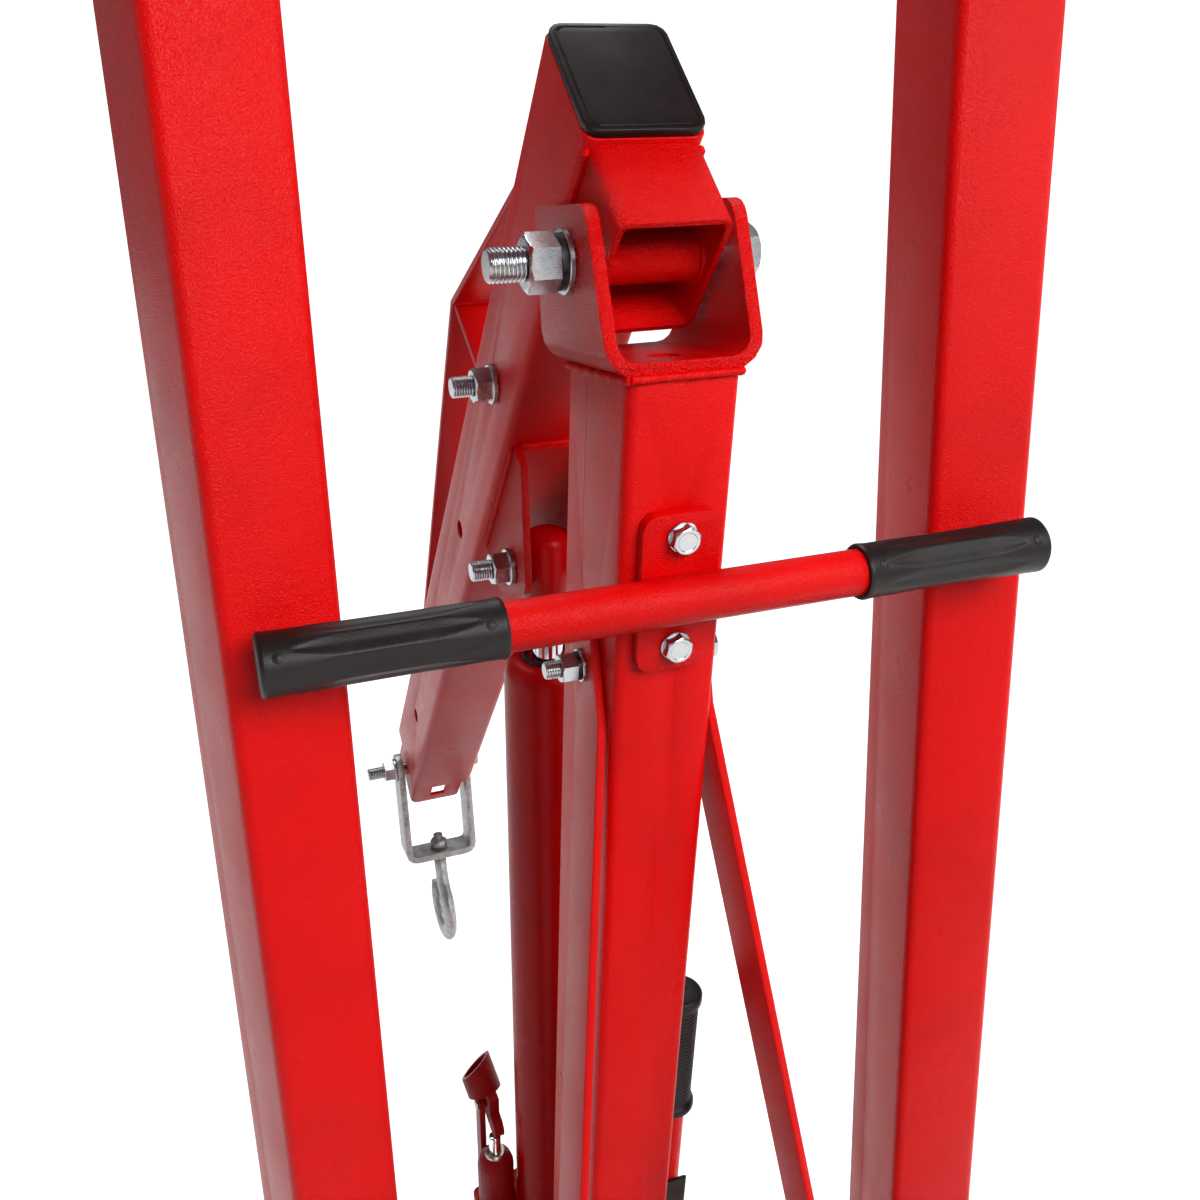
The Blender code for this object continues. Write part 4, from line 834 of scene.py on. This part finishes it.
def build_ram_details():
    """Wiper at the jack's top, weld round its base, the pump's lever pin and gland."""
    top = SPAN - 0.086
    s = Shape()
    revolve(s, [(0.0182, top), (0.0182, top + 0.0040), (0.0205, top + 0.0040), (0.0214, top + 0.0030),
                (0.0214, top)], 0, 48, loop=True)
    s.make("ram_wiper", RAM, [black_grip], "jack", 35, ())
    weld_bead("weld_jack_base", "jack", moved(RAM, ring(0.0372, 0.0830, 60)), 0.0022, True, seed=61,
              material=red_smooth)
    pump = RAM @ Matrix.Translation(PUMP)
    lever = Matrix.Translation((0, 0.030, 0.190)) @ ALONG_X
    pin = Shape()
    revolve(pin, [(0.0001, -0.0114), (0.0052, -0.0114), (0.0058, -0.0108), (0.0058, -0.0100),
                  (0.0001, -0.0100)], 0, 28, caps=(False, False))
    s = Shape()
    s.add(pin, lever)
    s.make("pump_link_pin_head", pump, [yellow_zinc], "jack", 35, ())
    s = Shape()
    revolve(s, [(0.0066, 0.1500), (0.0066, 0.1530), (0.0092, 0.1530), (0.0104, 0.1520), (0.0108, 0.1500)],
            0, 36, loop=True)
    s.make("pump_gland", pump, [yellow_zinc], "jack", 35, ())


def build_cap_border():
    """A raised border on the boom's black end cap."""
    place = BOOM @ Matrix.Translation((0, 0, 0.045)) @ Matrix.Rotation(math.pi / 2, 4, "X")
    corner = 0.007
    s = Shape()
    rings = []
    for width, height, rise in ((0.0700, 0.0850, 0.0052), (0.0690, 0.0840, 0.0060), (0.0650, 0.0800, 0.0060),
                                (0.0640, 0.0790, 0.0056)):
        row = []
        for sx, sy, start in ((1, 1, 0), (-1, 1, 90), (-1, -1, 180), (1, -1, 270)):
            for step in range(7):
                angle = math.radians(start + 15 * step)
                row.append((sx * (width / 2 - corner) + corner * math.cos(angle),
                            sy * (height / 2 - corner) + corner * math.sin(angle), rise))
        rings.append(row)
    s.loft(rings, 0, (False, True))
    s.make("boom_cap_border", place, [black_cap], "boom", 40, ())


# ------------------------------------------------------------------ stage and lights
def stage_piece(name, solid, place, roughness):
    """A piece of the stage, with the shader of its paper."""
    mesh = bpy.data.meshes.new(name)
    solid.to_mesh(mesh)
    solid.free()
    piece = bpy.data.objects.new(name, mesh)
    piece.location = place
    bpy.context.scene.collection.objects.link(piece)
    paper = Shader(name + "_paper", (0.93, 0.93, 0.93), roughness)
    paper.set("Emission Color", (1, 1, 1, 1))
    return piece, paper


def build_stage():
    """A plain pale floor whose glow is dimmed near the crane as a painted shade and brightens away from it,
    and a white backdrop all round.
    """
    solid = bmesh.new()
    bmesh.ops.create_grid(solid, x_segments=1, y_segments=1, size=40)
    floor, paper = stage_piece("floor", solid, (0, 0, cad_low.z - 0.0005), 0.75)
    colour = paper.ramp(paper.noise(0.7, 3.0), [(0.3, (0.92, 0.92, 0.92)), (0.7, (0.94, 0.94, 0.94))])
    # painted shade: the floor's glow is dimmer close to the crane and rises with distance from it
    away = paper.node("ShaderNodeVectorMath", operation="LENGTH")
    paper.link(paper.place, away.inputs[0])
    floor_glow_painted_shade = paper.spread(away.outputs["Value"], 0.50, 0.98, 0.9, 4.5)
    paper.link(floor_glow_painted_shade, paper.shader.inputs["Emission Strength"])
    floor.data.materials.append(paper.finish(None, colour))
    floor.visible_diffuse = False
    solid = bmesh.new()
    bmesh.ops.create_uvsphere(solid, u_segments=64, v_segments=32, radius=38)
    backdrop, paper = stage_piece("backdrop", solid, (0, 0, 0), 0.9)
    paper.set("Emission Strength", 1.0)
    colour = paper.ramp(paper.noise(0.7, 3.0), [(0.3, (0.90, 0.90, 0.90)), (0.7, (0.94, 0.94, 0.94))])
    backdrop.data.materials.append(paper.finish(None, colour))
    for flag in ("visible_diffuse", "visible_glossy", "visible_transmission", "visible_shadow"):
        setattr(backdrop, flag, False)


def area_light(name, place, target, size, power):
    """A soft rectangular light that faces a point."""
    data = bpy.data.lights.new(name, "AREA")
    data.shape = "RECTANGLE"
    data.size, data.size_y = size
    data.energy = power
    light = bpy.data.objects.new(name, data)
    light.location = place
    light.rotation_mode = "QUATERNION"
    light.rotation_quaternion = (Vector(target) - Vector(place)).to_track_quat("-Z", "Y")
    bpy.context.scene.collection.objects.link(light)


def build_lights():
    """Soft studio light: a big box behind the crane, one high, two at the sides, pale surroundings."""
    world = bpy.data.worlds.new("studio")
    world.use_nodes = True
    sky = world.node_tree.nodes["Background"]
    sky.inputs["Color"].default_value = (1.0, 0.97, 1.03, 1)
    sky.inputs["Strength"].default_value = 0.22
    bpy.context.scene.world = world
    bpy.context.scene.view_settings.view_transform = "Standard"
    area_light("box_behind", (0.9, -3.6, 3.0), (0, 0, 1.0), (2.4, 1.8), 152)
    area_light("box_high", (0.2, 1.6, 4.2), (0, 0, 0.9), (2.4, 2.0), 60)
    area_light("box_left", (-3.6, 0.6, 2.2), (0, 0, 1.0), (1.2, 2.4), 10)
    area_light("box_right", (3.4, -1.2, 2.4), (0, 0, 1.0), (1.4, 2.2), 36)


place_camera()
dress_nodes()
build_fasteners()
push_grip("grip_left_fluted", "grip_left", -1)
push_grip("grip_right_fluted", "grip_right", 1)
pump_grip()
build_welds()
build_wheels()
build_caster_details()
build_ram_details()
build_cap_border()
build_stage()
build_lights()
